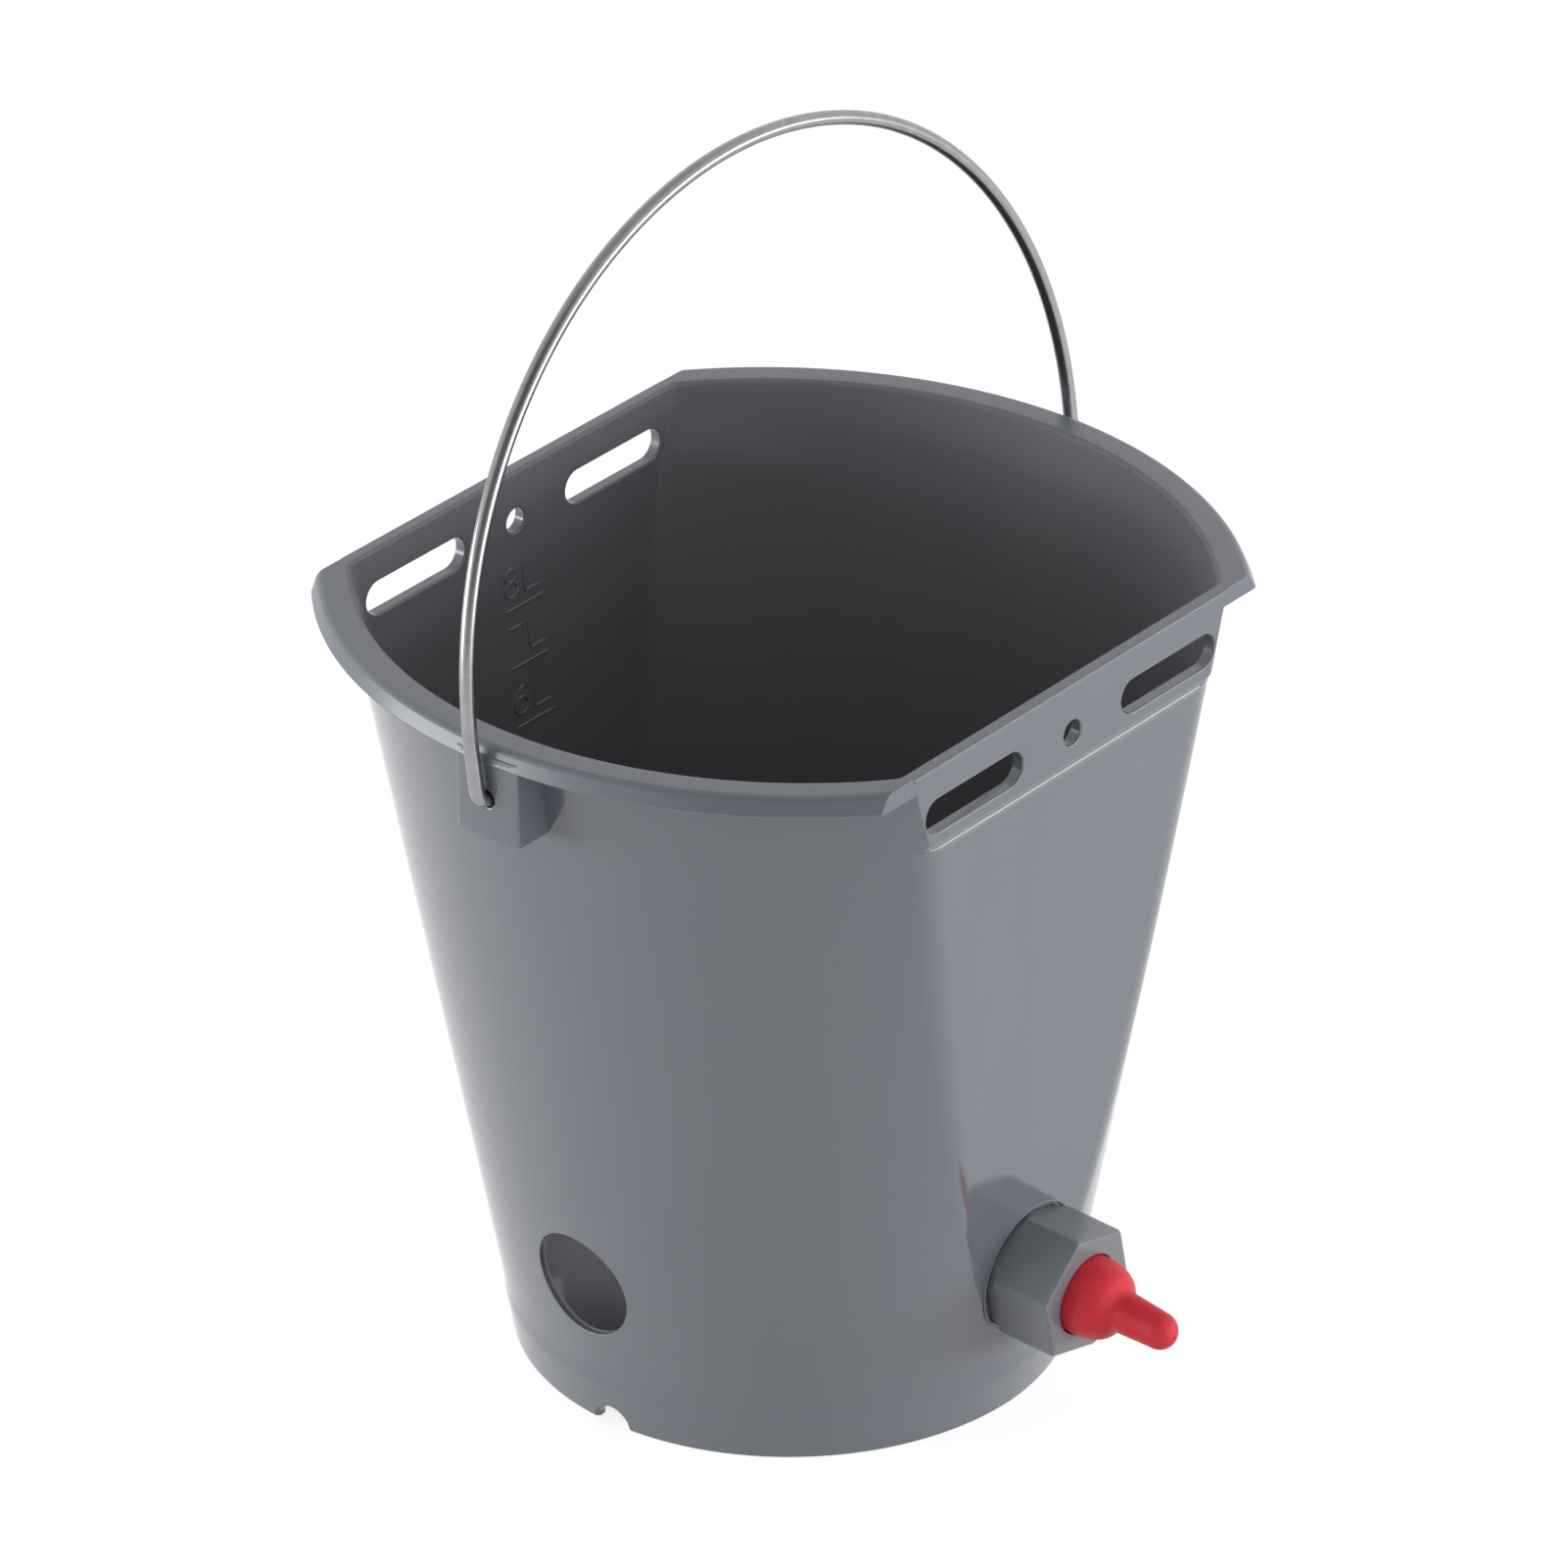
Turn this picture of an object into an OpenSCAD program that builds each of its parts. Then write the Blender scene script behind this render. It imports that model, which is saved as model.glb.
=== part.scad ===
// Calf feeder bucket with two flat sides, a wire bail and a screwed-on drinking teat.
// Millimetres. +Z is up and the ground is z = 0. The origin is the centre of the base ring.
// The teat is on the front flat side and points along -Y. The bail pivots on the X axis.

/* [Bucket body] */
// Height of the rim above the ground
rim_height = 283.6; // [260:0.2:310]
// Radius of the round base at the ground
base_radius = 95; // [92:0.1:100]
// Radius of each curved side at the rim height
side_radius_top = 155.2; // [153:0.1:157]
// How far the axis of a curved side leans past the middle at the rim height
side_offset_top = 14.1; // [11:0.1:17]
// Wall thickness of the curved sides and the skirt
wall = 3; // [2.2:0.1:4]
// Radius of the inner edge of the rim
edge_round = 1.5; // [1:0.1:2.2]
// Chamfer around the foot of the bucket
foot_chamfer = 0.6; // [0.4:0.1:2]

/* [Flat sides] */
// Distance from the middle to the outside of the upper band of a flat side
band_outer = 120.8; // [116:0.5:124]
// Wall thickness of the upper band
band_wall = 4.6; // [3.4:0.1:5.6]
// Height of the upper band, measured down from the rim
band_depth = 28.2; // [25:0.1:34]
// How far the top of the drafted panel stands back from the band
panel_step = 0.8; // [0.2:0.1:1.6]
// Height of the sloped strip between the band and the panel
strip_height = 3.5; // [1.5:0.1:5]
// How far the foot of the drafted panel would lie past the base radius
panel_foot_out = 3.7; // [2.6:0.1:4.6]
// Wall thickness at the foot of the drafted panel
panel_wall = 3.2; // [2.6:0.1:4.4]
// How far the bead along the top edge of a flat side stands out
bead_out = 0.5; // [0.3:0.1:1.6]
// Height of that bead
bead_height = 2; // [1.6:0.1:3]

/* [Rim] */
// Overhang of the rolled lip beyond the curved wall
lip_reach = 10.3; // [9.6:0.1:11]
// Drop of the lip from the rim height to its lower edge
lip_drop = 6.3; // [4.6:0.1:8]
// Roundness of the outer edge of the lip: 1 is a quarter ellipse, less is squarer
lip_round = 0.5; // [0.4:0.05:1]
// Thickness of the lip
lip_wall = 2.2; // [1.6:0.1:2.8]
// Thickness of the flat webs that close the ends of the lip
web_thick = 2.8; // [2:0.1:4]

/* [Hanging slots] */
// Distance between the centres of the two slots of a flat side
slot_spacing = 101.2; // [90:0.1:102]
// Length of a slot from end to end
slot_length = 49.6; // [30:0.1:50]
// Radius of the round ends of a slot
slot_r = 6.1; // [4.5:0.1:7.5]
// Depth of the slot centres under the rim height
slot_below_rim = 18.5; // [16.5:0.1:19.5]
// Radius of the hole between the slots
peg_hole_r = 4.5; // [3:0.05:6]

/* [Ears] */
// How far the outer face of an ear lies inside the edge of the lip
ear_back = 0.8; // [0:0.1:3]
// Width of an ear
ear_width = 25.6; // [22:0.2:32]
// Depth of an ear from the lower edge of the lip to its lower end
ear_depth = 27.6; // [24:0.2:34]
// Wall thickness of the ear
ear_wall = 3.2; // [2.4:0.1:4]
// Depth of the bail pivot under the rim height
pivot_below_rim = 19.35; // [16:0.05:22]
// Gap around the bail wire in the ear hole
ear_hole_gap = 0.6; // [0.4:0.05:1]

/* [Floor and skirt] */
// Height of the inner floor at the middle of the bucket
floor_height = 32; // [30:0.5:40]
// Fall of the inner floor towards the teat, in degrees
floor_fall = 3.4; // [1:0.1:4]
// Thickness of the floor
floor_wall = 3; // [2:0.1:4]
// Radius of the hand hole in the skirt
hand_hole_r = 19.6; // [15:0.1:20]
// Height of the centre of the hand hole
hand_hole_z = 56.5; // [54:0.5:62]
// Sideways place of the hand hole, towards the rear
hand_hole_y = 6; // [0:0.5:7]
// Clear room between the hand hole and the wall of the grip pocket behind it
grip_gap = 5; // [3:0.5:7]
// Thickness of the wall of the grip pocket
grip_wall = 2.5; // [2:0.1:3.5]
// Length of the grip pocket's wall below the upper face of the floor
grip_skirt = 12; // [5:0.5:18]
// How far the axis of the grip pocket lies inside the outer wall
grip_inset = 8; // [4:0.5:12]
// Radius of the half-round drain notch in the foot
notch_r = 6.3; // [4:0.1:8]

/* [Bail] */
// Diameter of the bail wire
wire_d = 5; // [4:0.1:6.5]
// Clear gap between a bail leg and the ear face, with the bail centred
leg_gap = 2.6; // [2.2:0.1:4]
// Height of the straight bail legs above the pivot
leg_height = 18.9; // [12:0.1:30]
// How far the centre of a shoulder's bend lies from the middle
shoulder_x = 5.5; // [2:0.5:8]
// How much larger the crown's bend radius is than that of the shoulders
crown_gap = 13.7; // [10:0.1:30]
// Bend radius where a leg turns into its ear
elbow_r = 5; // [4.5:0.1:5.5]
// Reach of the wire end inside the ear face
wire_end = 7.5; // [6:0.1:9]
// Play that the bail has taken up towards +X
bail_play = 1.1; // [0:0.1:1.5]
// Lean of the bail towards the rear as it stands, in degrees
bail_lean = 6.8; // [0:0.1:20]

/* [Valve seat on the wall] */
// Height of the valve axis on the seat face
valve_z = 56; // [54:0.5:60]
// Fall of the valve axis towards the tip of the teat, in degrees
valve_fall = 3.3; // [2:0.1:5]
// Depth of the seat face below the panel, measured on the valve axis
seat_depth = 1.4; // [1:0.1:1.6]
// Gap between the collar of the nut and the edge of the seat
seat_gap = 0.6; // [0.4:0.1:1.2]
// Wall thickness left between the seat face and the inner pad
seat_wall = 6; // [5:0.2:8]

/* [Union nut] */
// Width of the nut across its flats
nut_flats = 41.7; // [40.4:0.1:44]
// Length of the nut
nut_length = 25.7; // [22:0.1:30]
// Gap between the tightened nut and its seat
nut_clear = 0.3; // [0.1:0.1:0.6]
// Length of the round collar at the back of the nut
nut_collar = 2.2; // [2.1:0.1:3]
// How far that collar cuts the corners of the nut back
nut_collar_cut = 1.3; // [0.8:0.1:2]
// Length of the chamfer on the front corners of the nut
nut_chamfer = 2; // [1:0.1:3]
// Thickness of the front lip of the nut that holds the teat
nut_lip = 3; // [2.4:0.1:4]
// Gap between the thread of the nut and the spigot
thread_gap = 0.4; // [0.3:0.05:0.6]
// Gap between the front hole of the nut and the teat
nut_hole_gap = 0.4; // [0.3:0.05:0.8]
// Turn of the nut on its thread as it is tightened, in degrees
nut_phase = 45; // [0:1:59]

/* [Valve body] */
// Radius of the threaded spigot
spigot_r = 16.4; // [15.6:0.1:16.8]
// Radius of the milk bore in the spigot
bore_r = 11; // [10:0.1:12]
// Radius of the inlet hole, whose edge is the seat of the ball
inlet_r = 6; // [4.5:0.1:6.6]
// Radius of the flange inside the bucket
flange_r = 24; // [21:0.1:24.5]
// Thickness of the flange
flange_thick = 3.5; // [2.5:0.1:5]
// Width across the flats of the hexagon inside the bucket
grip_hex = 26; // [22:0.5:30]
// Length of that hexagon
grip_hex_len = 4; // [3:0.5:7]
// Thickness of the rubber gasket
gasket_thick = 2; // [1.5:0.1:3]
// Radial gap of the spigot in the wall
wall_bore_gap = 0.3; // [0.2:0.05:0.5]
// Distance from the flange to the seat of the ball
seat_plate = 4; // [3:0.1:5]

/* [Ball and its stop] */
// Radius of the non-return ball
ball_r = 7.5; // [7:0.1:8.5]
// Travel of the ball from the stop to its seat
ball_travel = 4.5; // [3:0.1:5]
// Gap around the ball
ball_gap = 0.3; // [0.2:0.05:0.4]
// Width of the guide ribs and of the bars of the stop
rib_w = 2.6; // [2:0.1:3.4]
// Radial gap between the stop and the bore
stop_gap = 0.05; // [0.03:0.01:0.08]
// Wall thickness of the ring of the stop
stop_wall = 2; // [1.5:0.1:2.6]

/* [Teat] */
// Radius of the bell of the teat
bell_r = 14; // [13:0.1:14.4]
// Length of the bell beyond the nut
bell_length = 14.5; // [12:0.5:18]
// Radius of the nipple at its root
neck_r = 7.2; // [6:0.1:8]
// Radius of the round end of the nipple
tip_r = 6.4; // [5.2:0.1:7]
// Length of the teat beyond the nut
teat_reach = 36.5; // [32:0.5:44]
// Thickness of the clamped teat flange
teat_flange = 3; // [2:0.1:4]
// Wall thickness of the teat
teat_wall = 2.5; // [1.8:0.1:3]
// Radius of the milk hole in the tip
milk_hole_r = 1; // [0.6:0.1:1.5]

/* [Hidden] */
$fn = 96;
// Cutters run this far past the faces that they cut.
over = 1;
// The round pad inside the wall stands out this far past the flange that it carries.
pad_margin = 1.5;
// Reach of the half spaces and prisms that trim the body
far = 400;

// The axis of a curved side leans so that both sides share one centre at the ground.
side_lean = atan(side_offset_top / rim_height);
side_axis = rim_height / cos(side_lean);
side_slope = (side_radius_top - base_radius) / side_axis;
// The leaning cone runs this far below the ground before it is trimmed.
dip = 20;

// Centre and radius of the level circle that the curved wall makes at the rim
near_r = side_radius_top / (1 + side_slope * tan(side_lean));
far_r = side_radius_top / (1 - side_slope * tan(side_lean));
rim_centre = side_offset_top + (far_r - near_r) / 2 / cos(side_lean);
rim_r = (far_r + near_r) / 2 / cos(side_lean);
rim_in_r = rim_r - wall;
lip_out_r = rim_r + lip_reach;
lip_low_z = rim_height - lip_drop;
lip_root_r = rim_in_r + 2 * edge_round;

// Heights and half widths of the flat sides
band_low_z = rim_height - band_depth;
band_in_y = band_outer - band_wall;
panel_top_y = band_outer - panel_step;
panel_top_z = band_low_z - strip_height;
bead_y = band_outer + bead_out;
bead_low_z = rim_height - bead_height;
bead_edge = bead_out / 2;
panel_foot_y = base_radius + panel_foot_out;
panel_slope = (panel_top_y - panel_foot_y) / panel_top_z;
function panel_y(z) = panel_foot_y + panel_slope * z;
slot_z = rim_height - slot_below_rim;
slot_half = slot_length / 2 - slot_r;

// The bail and its ears
ear_face_x = lip_out_r - rim_centre - ear_back;
pivot_z = rim_height - pivot_below_rim;
wire_r = wire_d / 2;
ear_hole_r = wire_r + ear_hole_gap;
ear_low_z = lip_low_z - ear_depth;
ear_top_z = lip_low_z + 0.7 * (lip_drop - lip_wall);
bail_half = ear_face_x + leg_gap + wire_r;
shoulder_r = bail_half - shoulder_x;
crown_r = shoulder_r + crown_gap;
crown_z = leg_height - sqrt(crown_gap * crown_gap - shoulder_x * shoulder_x);
crown_angle = acos(shoulder_x / crown_gap);
// The wire swells by this much where its two bends meet.
bend_swell = 0.03;
wire_end_x = ear_face_x - wire_end;

// The hand hole and the pocket behind it
grip_r = hand_hole_r + grip_gap;
grip_top_z = hand_hole_z + hand_hole_r + grip_gap;
grip_low_z = floor_height - grip_skirt;
grip_x = grip_inset - base_radius - hand_hole_z * tan(atan(side_slope) - side_lean);

// Stations along the valve axis, counted outwards from the seat face
nut_corner_r = nut_flats / 2 / cos(30);
nut_collar_r = nut_corner_r - nut_collar_cut;
seat_r = nut_collar_r + seat_gap;
pad_w = -seat_wall;
gasket_w = pad_w - gasket_thick;
flange_w = gasket_w - flange_thick;
hex_w = flange_w - grip_hex_len;
nut_front_w = nut_clear + nut_length;
nut_lip_w = nut_front_w - nut_lip;
spigot_w = nut_lip_w - teat_flange;
ball_seat_w = gasket_w + seat_plate;
// The shut ball stands a gap short of the edge that it seals on.
ball_shut_w = ball_seat_w + sqrt(ball_r * ball_r - inlet_r * inlet_r) + ball_gap;
ball_open_w = ball_shut_w + ball_travel;
stop_w = ball_open_w + ball_r + ball_gap;
pad_r = flange_r + pad_margin;
wall_bore_r = spigot_r + wall_bore_gap;
guide_r = ball_r + ball_gap;
stop_r = bore_r - stop_gap;
nut_bore_r = spigot_r + thread_gap;
nut_hole_r = bell_r + nut_hole_gap;
valve_y = seat_depth - panel_y(valve_z);

// Stations of the teat along the same axis
bell_root_w = nut_front_w + bell_length / 6;
neck_w = nut_front_w + bell_length;
tip_w = nut_front_w + teat_reach - tip_r;
milk_r = bell_r - 1.6 * teat_wall;
duct_r = neck_r - teat_wall;
duct_tip_r = tip_r - teat_wall;
duct_w = neck_w - teat_wall;

// Points on a circular arc from angle a0 to angle a1
function arc(cx, cy, r, a0, a1, n) =
    [for (i = [0:n]) let (a = a0 + (a1 - a0) * i / n) [cx + r * cos(a), cy + r * sin(a)]];
// Points on a quarter ellipse, from [cx, cy + ry] to [cx + rx, cy]
function quarter(cx, cy, rx, ry, n) =
    [for (i = [0:n]) [cx + rx * sin(90 * i / n), cy + ry * cos(90 * i / n)]];
// The same with a squarer corner when e is under 1
function corner_curve(cx, cy, rx, ry, e, n) =
    [for (i = [0:n]) [cx + rx * pow(sin(90 * i / n), e), cy + ry * pow(cos(90 * i / n), e)]];
function backwards(pts) = [for (i = [len(pts) - 1:-1:0]) pts[i]];
// Both halves of a section that is given for positive widths
function both_sides(half) =
    concat(half, [for (i = [len(half) - 1:-1:0]) [-half[i][0], half[i][1]]]);

// Places children on the valve axis: local +Z runs out through the wall to the teat.
module on_valve_axis(w = 0) {
    translate([0, valve_y, valve_z]) rotate([90 + valve_fall, 0, 0]) translate([0, 0, w])
        children();
}

// The part of a solid on one side of the middle: side -1 is -X.
module side_half(side) {
    intersection() {
        children();
        translate([side < 0 ? -far : 0, -far, -far]) cube([far, 2 * far, 2 * far]);
    }
}

// Two leaning cones, each cut at the middle, make the pair of curved sides.
module curved_sides(inset) {
    for (side = [-1, 1]) {
        side_half(side)
            rotate([0, -side * side_lean, 0]) translate([0, 0, -dip])
                cylinder(h = side_axis + 2 * dip, r1 = base_radius - inset - dip * side_slope,
                         r2 = side_radius_top - inset + dip * side_slope);
    }
}

// Prism along X whose end is the outline of the flat sides
module flat_sides(half) {
    rotate([90, 0, 90]) linear_extrude(height = 2 * far, center = true)
        polygon(both_sides(half));
}

outer_half = [
    [panel_y(-dip), -dip], [panel_top_y, panel_top_z], [band_outer, band_low_z],
    [band_outer, bead_low_z], [bead_y, bead_low_z + bead_edge],
    [bead_y, rim_height - bead_edge], [bead_y - bead_edge, rim_height]
];
inner_half = [
    [panel_y(0) - panel_wall, -dip], [panel_y(0) - panel_wall, 0], [band_in_y, band_low_z],
    [band_in_y, rim_height + dip]
];

module outer_form() {
    intersection() {
        curved_sides(0);
        flat_sides(outer_half);
        union() {
            cylinder(h = 2 * foot_chamfer, r1 = base_radius - foot_chamfer,
                     r2 = base_radius + foot_chamfer);
            translate([-far, -far, 2 * foot_chamfer])
                cube([2 * far, 2 * far, rim_height - 2 * foot_chamfer]);
        }
    }
}

module inner_form() {
    intersection() {
        curved_sides(wall);
        flat_sides(inner_half);
    }
}

// Half space above the floor, or above its underside when drop is the floor thickness
module above_floor(drop) {
    translate([0, 0, floor_height - drop]) rotate([floor_fall, 0, 0])
        translate([-far, -far, 0]) cube([2 * far, 2 * far, far]);
}

module milk_space() {
    intersection() {
        inner_form();
        above_floor(0);
    }
}

module skirt_space() {
    difference() {
        inner_form();
        above_floor(floor_wall);
    }
}

// A ring section carried round the rim of both curved sides, between planes at +y and -y
module rim_ring(section, y) {
    for (side = [-1, 1]) {
        side_half(side)
            intersection() {
                translate([-side * rim_centre, 0, 0]) rotate_extrude($fn = 180)
                    polygon(section);
                translate([-far, -y, 0]) cube([2 * far, 2 * y, rim_height + dip]);
            }
    }
}

lip_crest = corner_curve(lip_root_r, lip_low_z, lip_out_r - lip_root_r, lip_drop, lip_round, 12);
lip_under = corner_curve(lip_root_r, lip_low_z, lip_out_r - lip_wall - lip_root_r,
                         lip_drop - lip_wall, lip_round, 8);
lip_section = concat(lip_crest, backwards(lip_under), [[rim_in_r + wall / 2, lip_low_z],
                     [rim_in_r + wall / 2, rim_height]]);
web_section = concat(lip_crest, [[rim_in_r + wall / 2, lip_low_z],
                     [rim_in_r + wall / 2, rim_height]]);
edge_section = concat(arc(rim_in_r + edge_round, rim_height - edge_round, edge_round, 180, 90, 5),
                      [[rim_in_r + edge_round, rim_height + over],
                       [rim_in_r - edge_round, rim_height + over],
                       [rim_in_r - edge_round, rim_height - edge_round]]);

module lip() {
    rim_ring(lip_section, band_outer);
    difference() {
        rim_ring(web_section, band_outer);
        translate([-far, web_thick - band_outer, 0])
            cube([2 * far, 2 * (band_outer - web_thick), far]);
    }
}

// A block that hangs from the lip, hollow and open below, for one end of the bail
module ear() {
    difference() {
        translate([rim_in_r - rim_centre - 3 * wall, -ear_width / 2, ear_low_z])
            cube([ear_face_x - rim_in_r + rim_centre + 3 * wall, ear_width,
                  ear_top_z - ear_low_z]);
        translate([0, ear_wall - ear_width / 2, ear_low_z - over])
            cube([ear_face_x - ear_wall, ear_width - 2 * ear_wall,
                  ear_top_z - ear_low_z + 2 * over]);
    }
}

module grip_form(extra) {
    translate([grip_x, hand_hole_y, grip_low_z])
        cylinder(h = grip_top_z + extra - grip_low_z, r = grip_r + extra);
}

// Through cutters of both flat sides
module side_openings() {
    rotate([90, 0, 0]) {
        translate([0, slot_z, -far / 2]) cylinder(h = far, r = peg_hole_r);
        for (x = [-slot_spacing / 2, slot_spacing / 2]) {
            for (end = [-slot_half, slot_half])
                translate([x + end, slot_z, -far / 2]) cylinder(h = far, r = slot_r);
            translate([x - slot_half, slot_z - slot_r, -far / 2])
                cube([2 * slot_half, 2 * slot_r, far]);
        }
    }
}

module bucket() color("slategray") {
    difference() {
        union() {
            difference() {
                union() {
                    outer_form();
                    ear();
                    mirror([1, 0, 0]) ear();
                    lip();
                }
                milk_space();
                skirt_space();
            }
            intersection() {
                outer_form();
                union() {
                    grip_form(grip_wall);
                    on_valve_axis(pad_w) cylinder(h = seat_wall + over, r = pad_r);
                }
            }
        }
        intersection() {
            inner_form();
            translate([0, 0, -dip]) union() {
                grip_form(0);
                translate([0, 0, dip]) grip_form(0);
            }
        }
        rim_ring(edge_section, band_in_y);
        side_openings();
        on_valve_axis(0) cylinder(h = nut_length, r = seat_r);
        on_valve_axis(pad_w - over) cylinder(h = seat_wall + 2 * over, r = wall_bore_r);
        translate([grip_x, hand_hole_y, hand_hole_z]) rotate([0, -90, 0])
            cylinder(h = far / 4, r = hand_hole_r);
        translate([grip_x, 0, 0]) rotate([0, -90, 0]) cylinder(h = far / 4, r = notch_r);
        translate([-ear_face_x - over, 0, pivot_z]) rotate([0, 90, 0])
            cylinder(h = ear_wall + 2 * over, r = ear_hole_r);
        translate([ear_face_x + over, 0, pivot_z]) rotate([0, -90, 0])
            cylinder(h = ear_wall + 2 * over, r = ear_hole_r);
    }
}

// Piece of a wire ring that stands in the X-Z plane, between two angles from +X
module wire_arc(x, z, bend, a0, a1) {
    reach = 2 * (bend + wire_d);
    translate([x, 0, z]) rotate([90, 0, 0]) intersection() {
        rotate_extrude($fn = 180) translate([bend, 0]) circle(r = wire_r);
        translate([0, 0, -wire_d]) linear_extrude(height = 2 * wire_d)
            polygon([[0, 0], [reach * cos(a0), reach * sin(a0)],
                     [reach * cos((a0 + a1) / 2), reach * sin((a0 + a1) / 2)],
                     [reach * cos(a1), reach * sin(a1)]]);
    }
}

// One half of the bail, from the pivot up to the middle of the crown
module half_bail() {
    translate([wire_end_x, 0, 0]) rotate([0, 90, 0])
        cylinder(h = bail_half - elbow_r - wire_end_x, r = wire_r);
    wire_arc(bail_half - elbow_r, elbow_r, elbow_r, -90, 0);
    translate([bail_half, 0, elbow_r]) cylinder(h = leg_height - elbow_r, r = wire_r);
    wire_arc(shoulder_x, leg_height, shoulder_r, 0, crown_angle);
    wire_arc(0, crown_z, crown_r, crown_angle, 90);
    translate([crown_r * cos(crown_angle), 0, crown_z + crown_r * sin(crown_angle)])
        sphere(r = wire_r + bend_swell);
}

module bail() color("silver") {
    translate([bail_play, 0, pivot_z]) rotate([-bail_lean, 0, 0]) {
        half_bail();
        mirror([1, 0, 0]) half_bail();
    }
}

// Threaded spigot with an inner flange, a hexagon to hold it by and ribs that guide the ball
module valve_body() color("dimgray") {
    difference() {
        union() {
            on_valve_axis(hex_w) cylinder(h = grip_hex_len + over, r = grip_hex / 2 / cos(30),
                                          $fn = 6);
            on_valve_axis(flange_w) cylinder(h = flange_thick, r = flange_r);
            on_valve_axis(flange_w) cylinder(h = spigot_w - flange_w, r = spigot_r);
        }
        on_valve_axis(hex_w - over) cylinder(h = ball_seat_w - hex_w + 2 * over, r = inlet_r);
        difference() {
            on_valve_axis(ball_seat_w) cylinder(h = spigot_w - ball_seat_w + over, r = bore_r);
            guide_ribs();
        }
    }
}

module guide_ribs() {
    difference() {
        on_valve_axis(ball_seat_w) {
            for (turn = [0:90:270])
                rotate([0, 0, 45 + turn]) translate([0, -rib_w / 2, 0])
                    cube([bore_r + over, rib_w, stop_w - ball_seat_w]);
        }
        on_valve_axis(ball_seat_w - over)
            cylinder(h = stop_w - ball_seat_w + 2 * over, r = guide_r);
    }
}

module wall_gasket() color("black") {
    on_valve_axis(gasket_w) difference() {
        cylinder(h = gasket_thick, r = flange_r - 1);
        translate([0, 0, -over]) cylinder(h = gasket_thick + 2 * over, r = wall_bore_r);
    }
}

module valve_ball() color("white") {
    on_valve_axis(ball_open_w) sphere(r = ball_r);
}

// Ring on the outer ends of the ribs, with crossed bars that hold the ball in
module ball_stop() color("darkgray") {
    on_valve_axis(stop_w) {
        difference() {
            cylinder(h = spigot_w - stop_w, r = stop_r);
            translate([0, 0, -over])
                cylinder(h = spigot_w - stop_w + 2 * over, r = stop_r - stop_wall);
        }
        for (turn = [0, 90])
            rotate([0, 0, turn]) translate([-(stop_r - stop_wall / 2), -rib_w / 2, 0])
                cube([2 * stop_r - stop_wall, rib_w, stop_wall]);
    }
}

teat_outline = concat(
    [[0, spigot_w], [spigot_r, spigot_w], [spigot_r, nut_lip_w], [bell_r, nut_lip_w]],
    backwards([for (p = quarter(neck_r, bell_root_w, bell_r - neck_r, neck_w - bell_root_w, 12)) p]),
    arc(0, tip_w, tip_r, 0, 90, 10)
);
teat_hollow = concat(
    [[0, spigot_w - over], [stop_r - stop_wall / 2, spigot_w - over], [milk_r, nut_lip_w]],
    backwards([for (p = quarter(duct_r, bell_root_w, milk_r - duct_r, duct_w - bell_root_w, 10)) p]),
    arc(0, tip_w, duct_tip_r, 0, 90, 6)
);

module teat() color("crimson") {
    on_valve_axis(0) difference() {
        rotate_extrude() polygon(teat_outline);
        rotate_extrude() polygon(teat_hollow);
        translate([0, 0, tip_w]) cylinder(h = 2 * tip_r, r = milk_hole_r);
    }
}

module union_nut() color("gray") {
    on_valve_axis(nut_clear) rotate([0, 0, nut_phase]) difference() {
        intersection() {
            cylinder(h = nut_length, r = nut_corner_r, $fn = 6);
            union() {
                cylinder(h = nut_collar, r = nut_collar_r);
                translate([0, 0, nut_collar])
                    cylinder(h = nut_collar_cut, r1 = nut_collar_r, r2 = nut_corner_r);
                translate([0, 0, nut_collar + nut_collar_cut])
                    cylinder(h = nut_length - nut_chamfer - nut_collar - nut_collar_cut,
                             r = nut_corner_r + over);
                translate([0, 0, nut_length - nut_chamfer])
                    cylinder(h = nut_chamfer, r1 = nut_corner_r,
                             r2 = nut_corner_r - nut_chamfer / 2);
            }
        }
        translate([0, 0, -over]) cylinder(h = nut_lip_w - nut_clear + over, r = nut_bore_r);
        cylinder(h = nut_length + over, r = nut_hole_r);
    }
}

bucket();
bail();
valve_body();
wall_gasket();
valve_ball();
ball_stop();
teat();
union_nut();
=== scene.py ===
"""Calf feeder bucket: the visual pieces, finishes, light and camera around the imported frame."""

import logging
import math
from dataclasses import dataclass, field
from enum import Enum
from typing import Callable, Sequence

import bpy
import numpy as np
from mathutils import Matrix, Vector


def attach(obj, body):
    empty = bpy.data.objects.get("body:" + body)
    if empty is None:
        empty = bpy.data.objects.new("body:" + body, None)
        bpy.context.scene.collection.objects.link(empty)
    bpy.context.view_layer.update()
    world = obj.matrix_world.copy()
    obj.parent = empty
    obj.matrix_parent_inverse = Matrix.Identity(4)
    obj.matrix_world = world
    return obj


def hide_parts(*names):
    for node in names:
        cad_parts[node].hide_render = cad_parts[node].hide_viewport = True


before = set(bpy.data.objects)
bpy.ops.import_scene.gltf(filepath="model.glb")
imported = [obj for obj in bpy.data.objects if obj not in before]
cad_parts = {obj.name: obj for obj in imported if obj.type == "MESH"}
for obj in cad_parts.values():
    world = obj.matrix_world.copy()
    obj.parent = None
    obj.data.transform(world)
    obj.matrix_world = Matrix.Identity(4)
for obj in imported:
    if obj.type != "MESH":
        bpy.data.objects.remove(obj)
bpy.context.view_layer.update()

LOG = logging.getLogger("calf_feeder_bucket")
MM = 0.001
FULL_TURN = 2 * math.pi
QUARTER = math.pi / 2

Rows = list[np.ndarray]
Span = tuple[float, float]
Pairs = list[Span]
Triple = tuple[float, float, float]
Colour = tuple[float, float, float]
Obj = bpy.types.Object
Material = bpy.types.Material
Socket = bpy.types.NodeSocket


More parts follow.
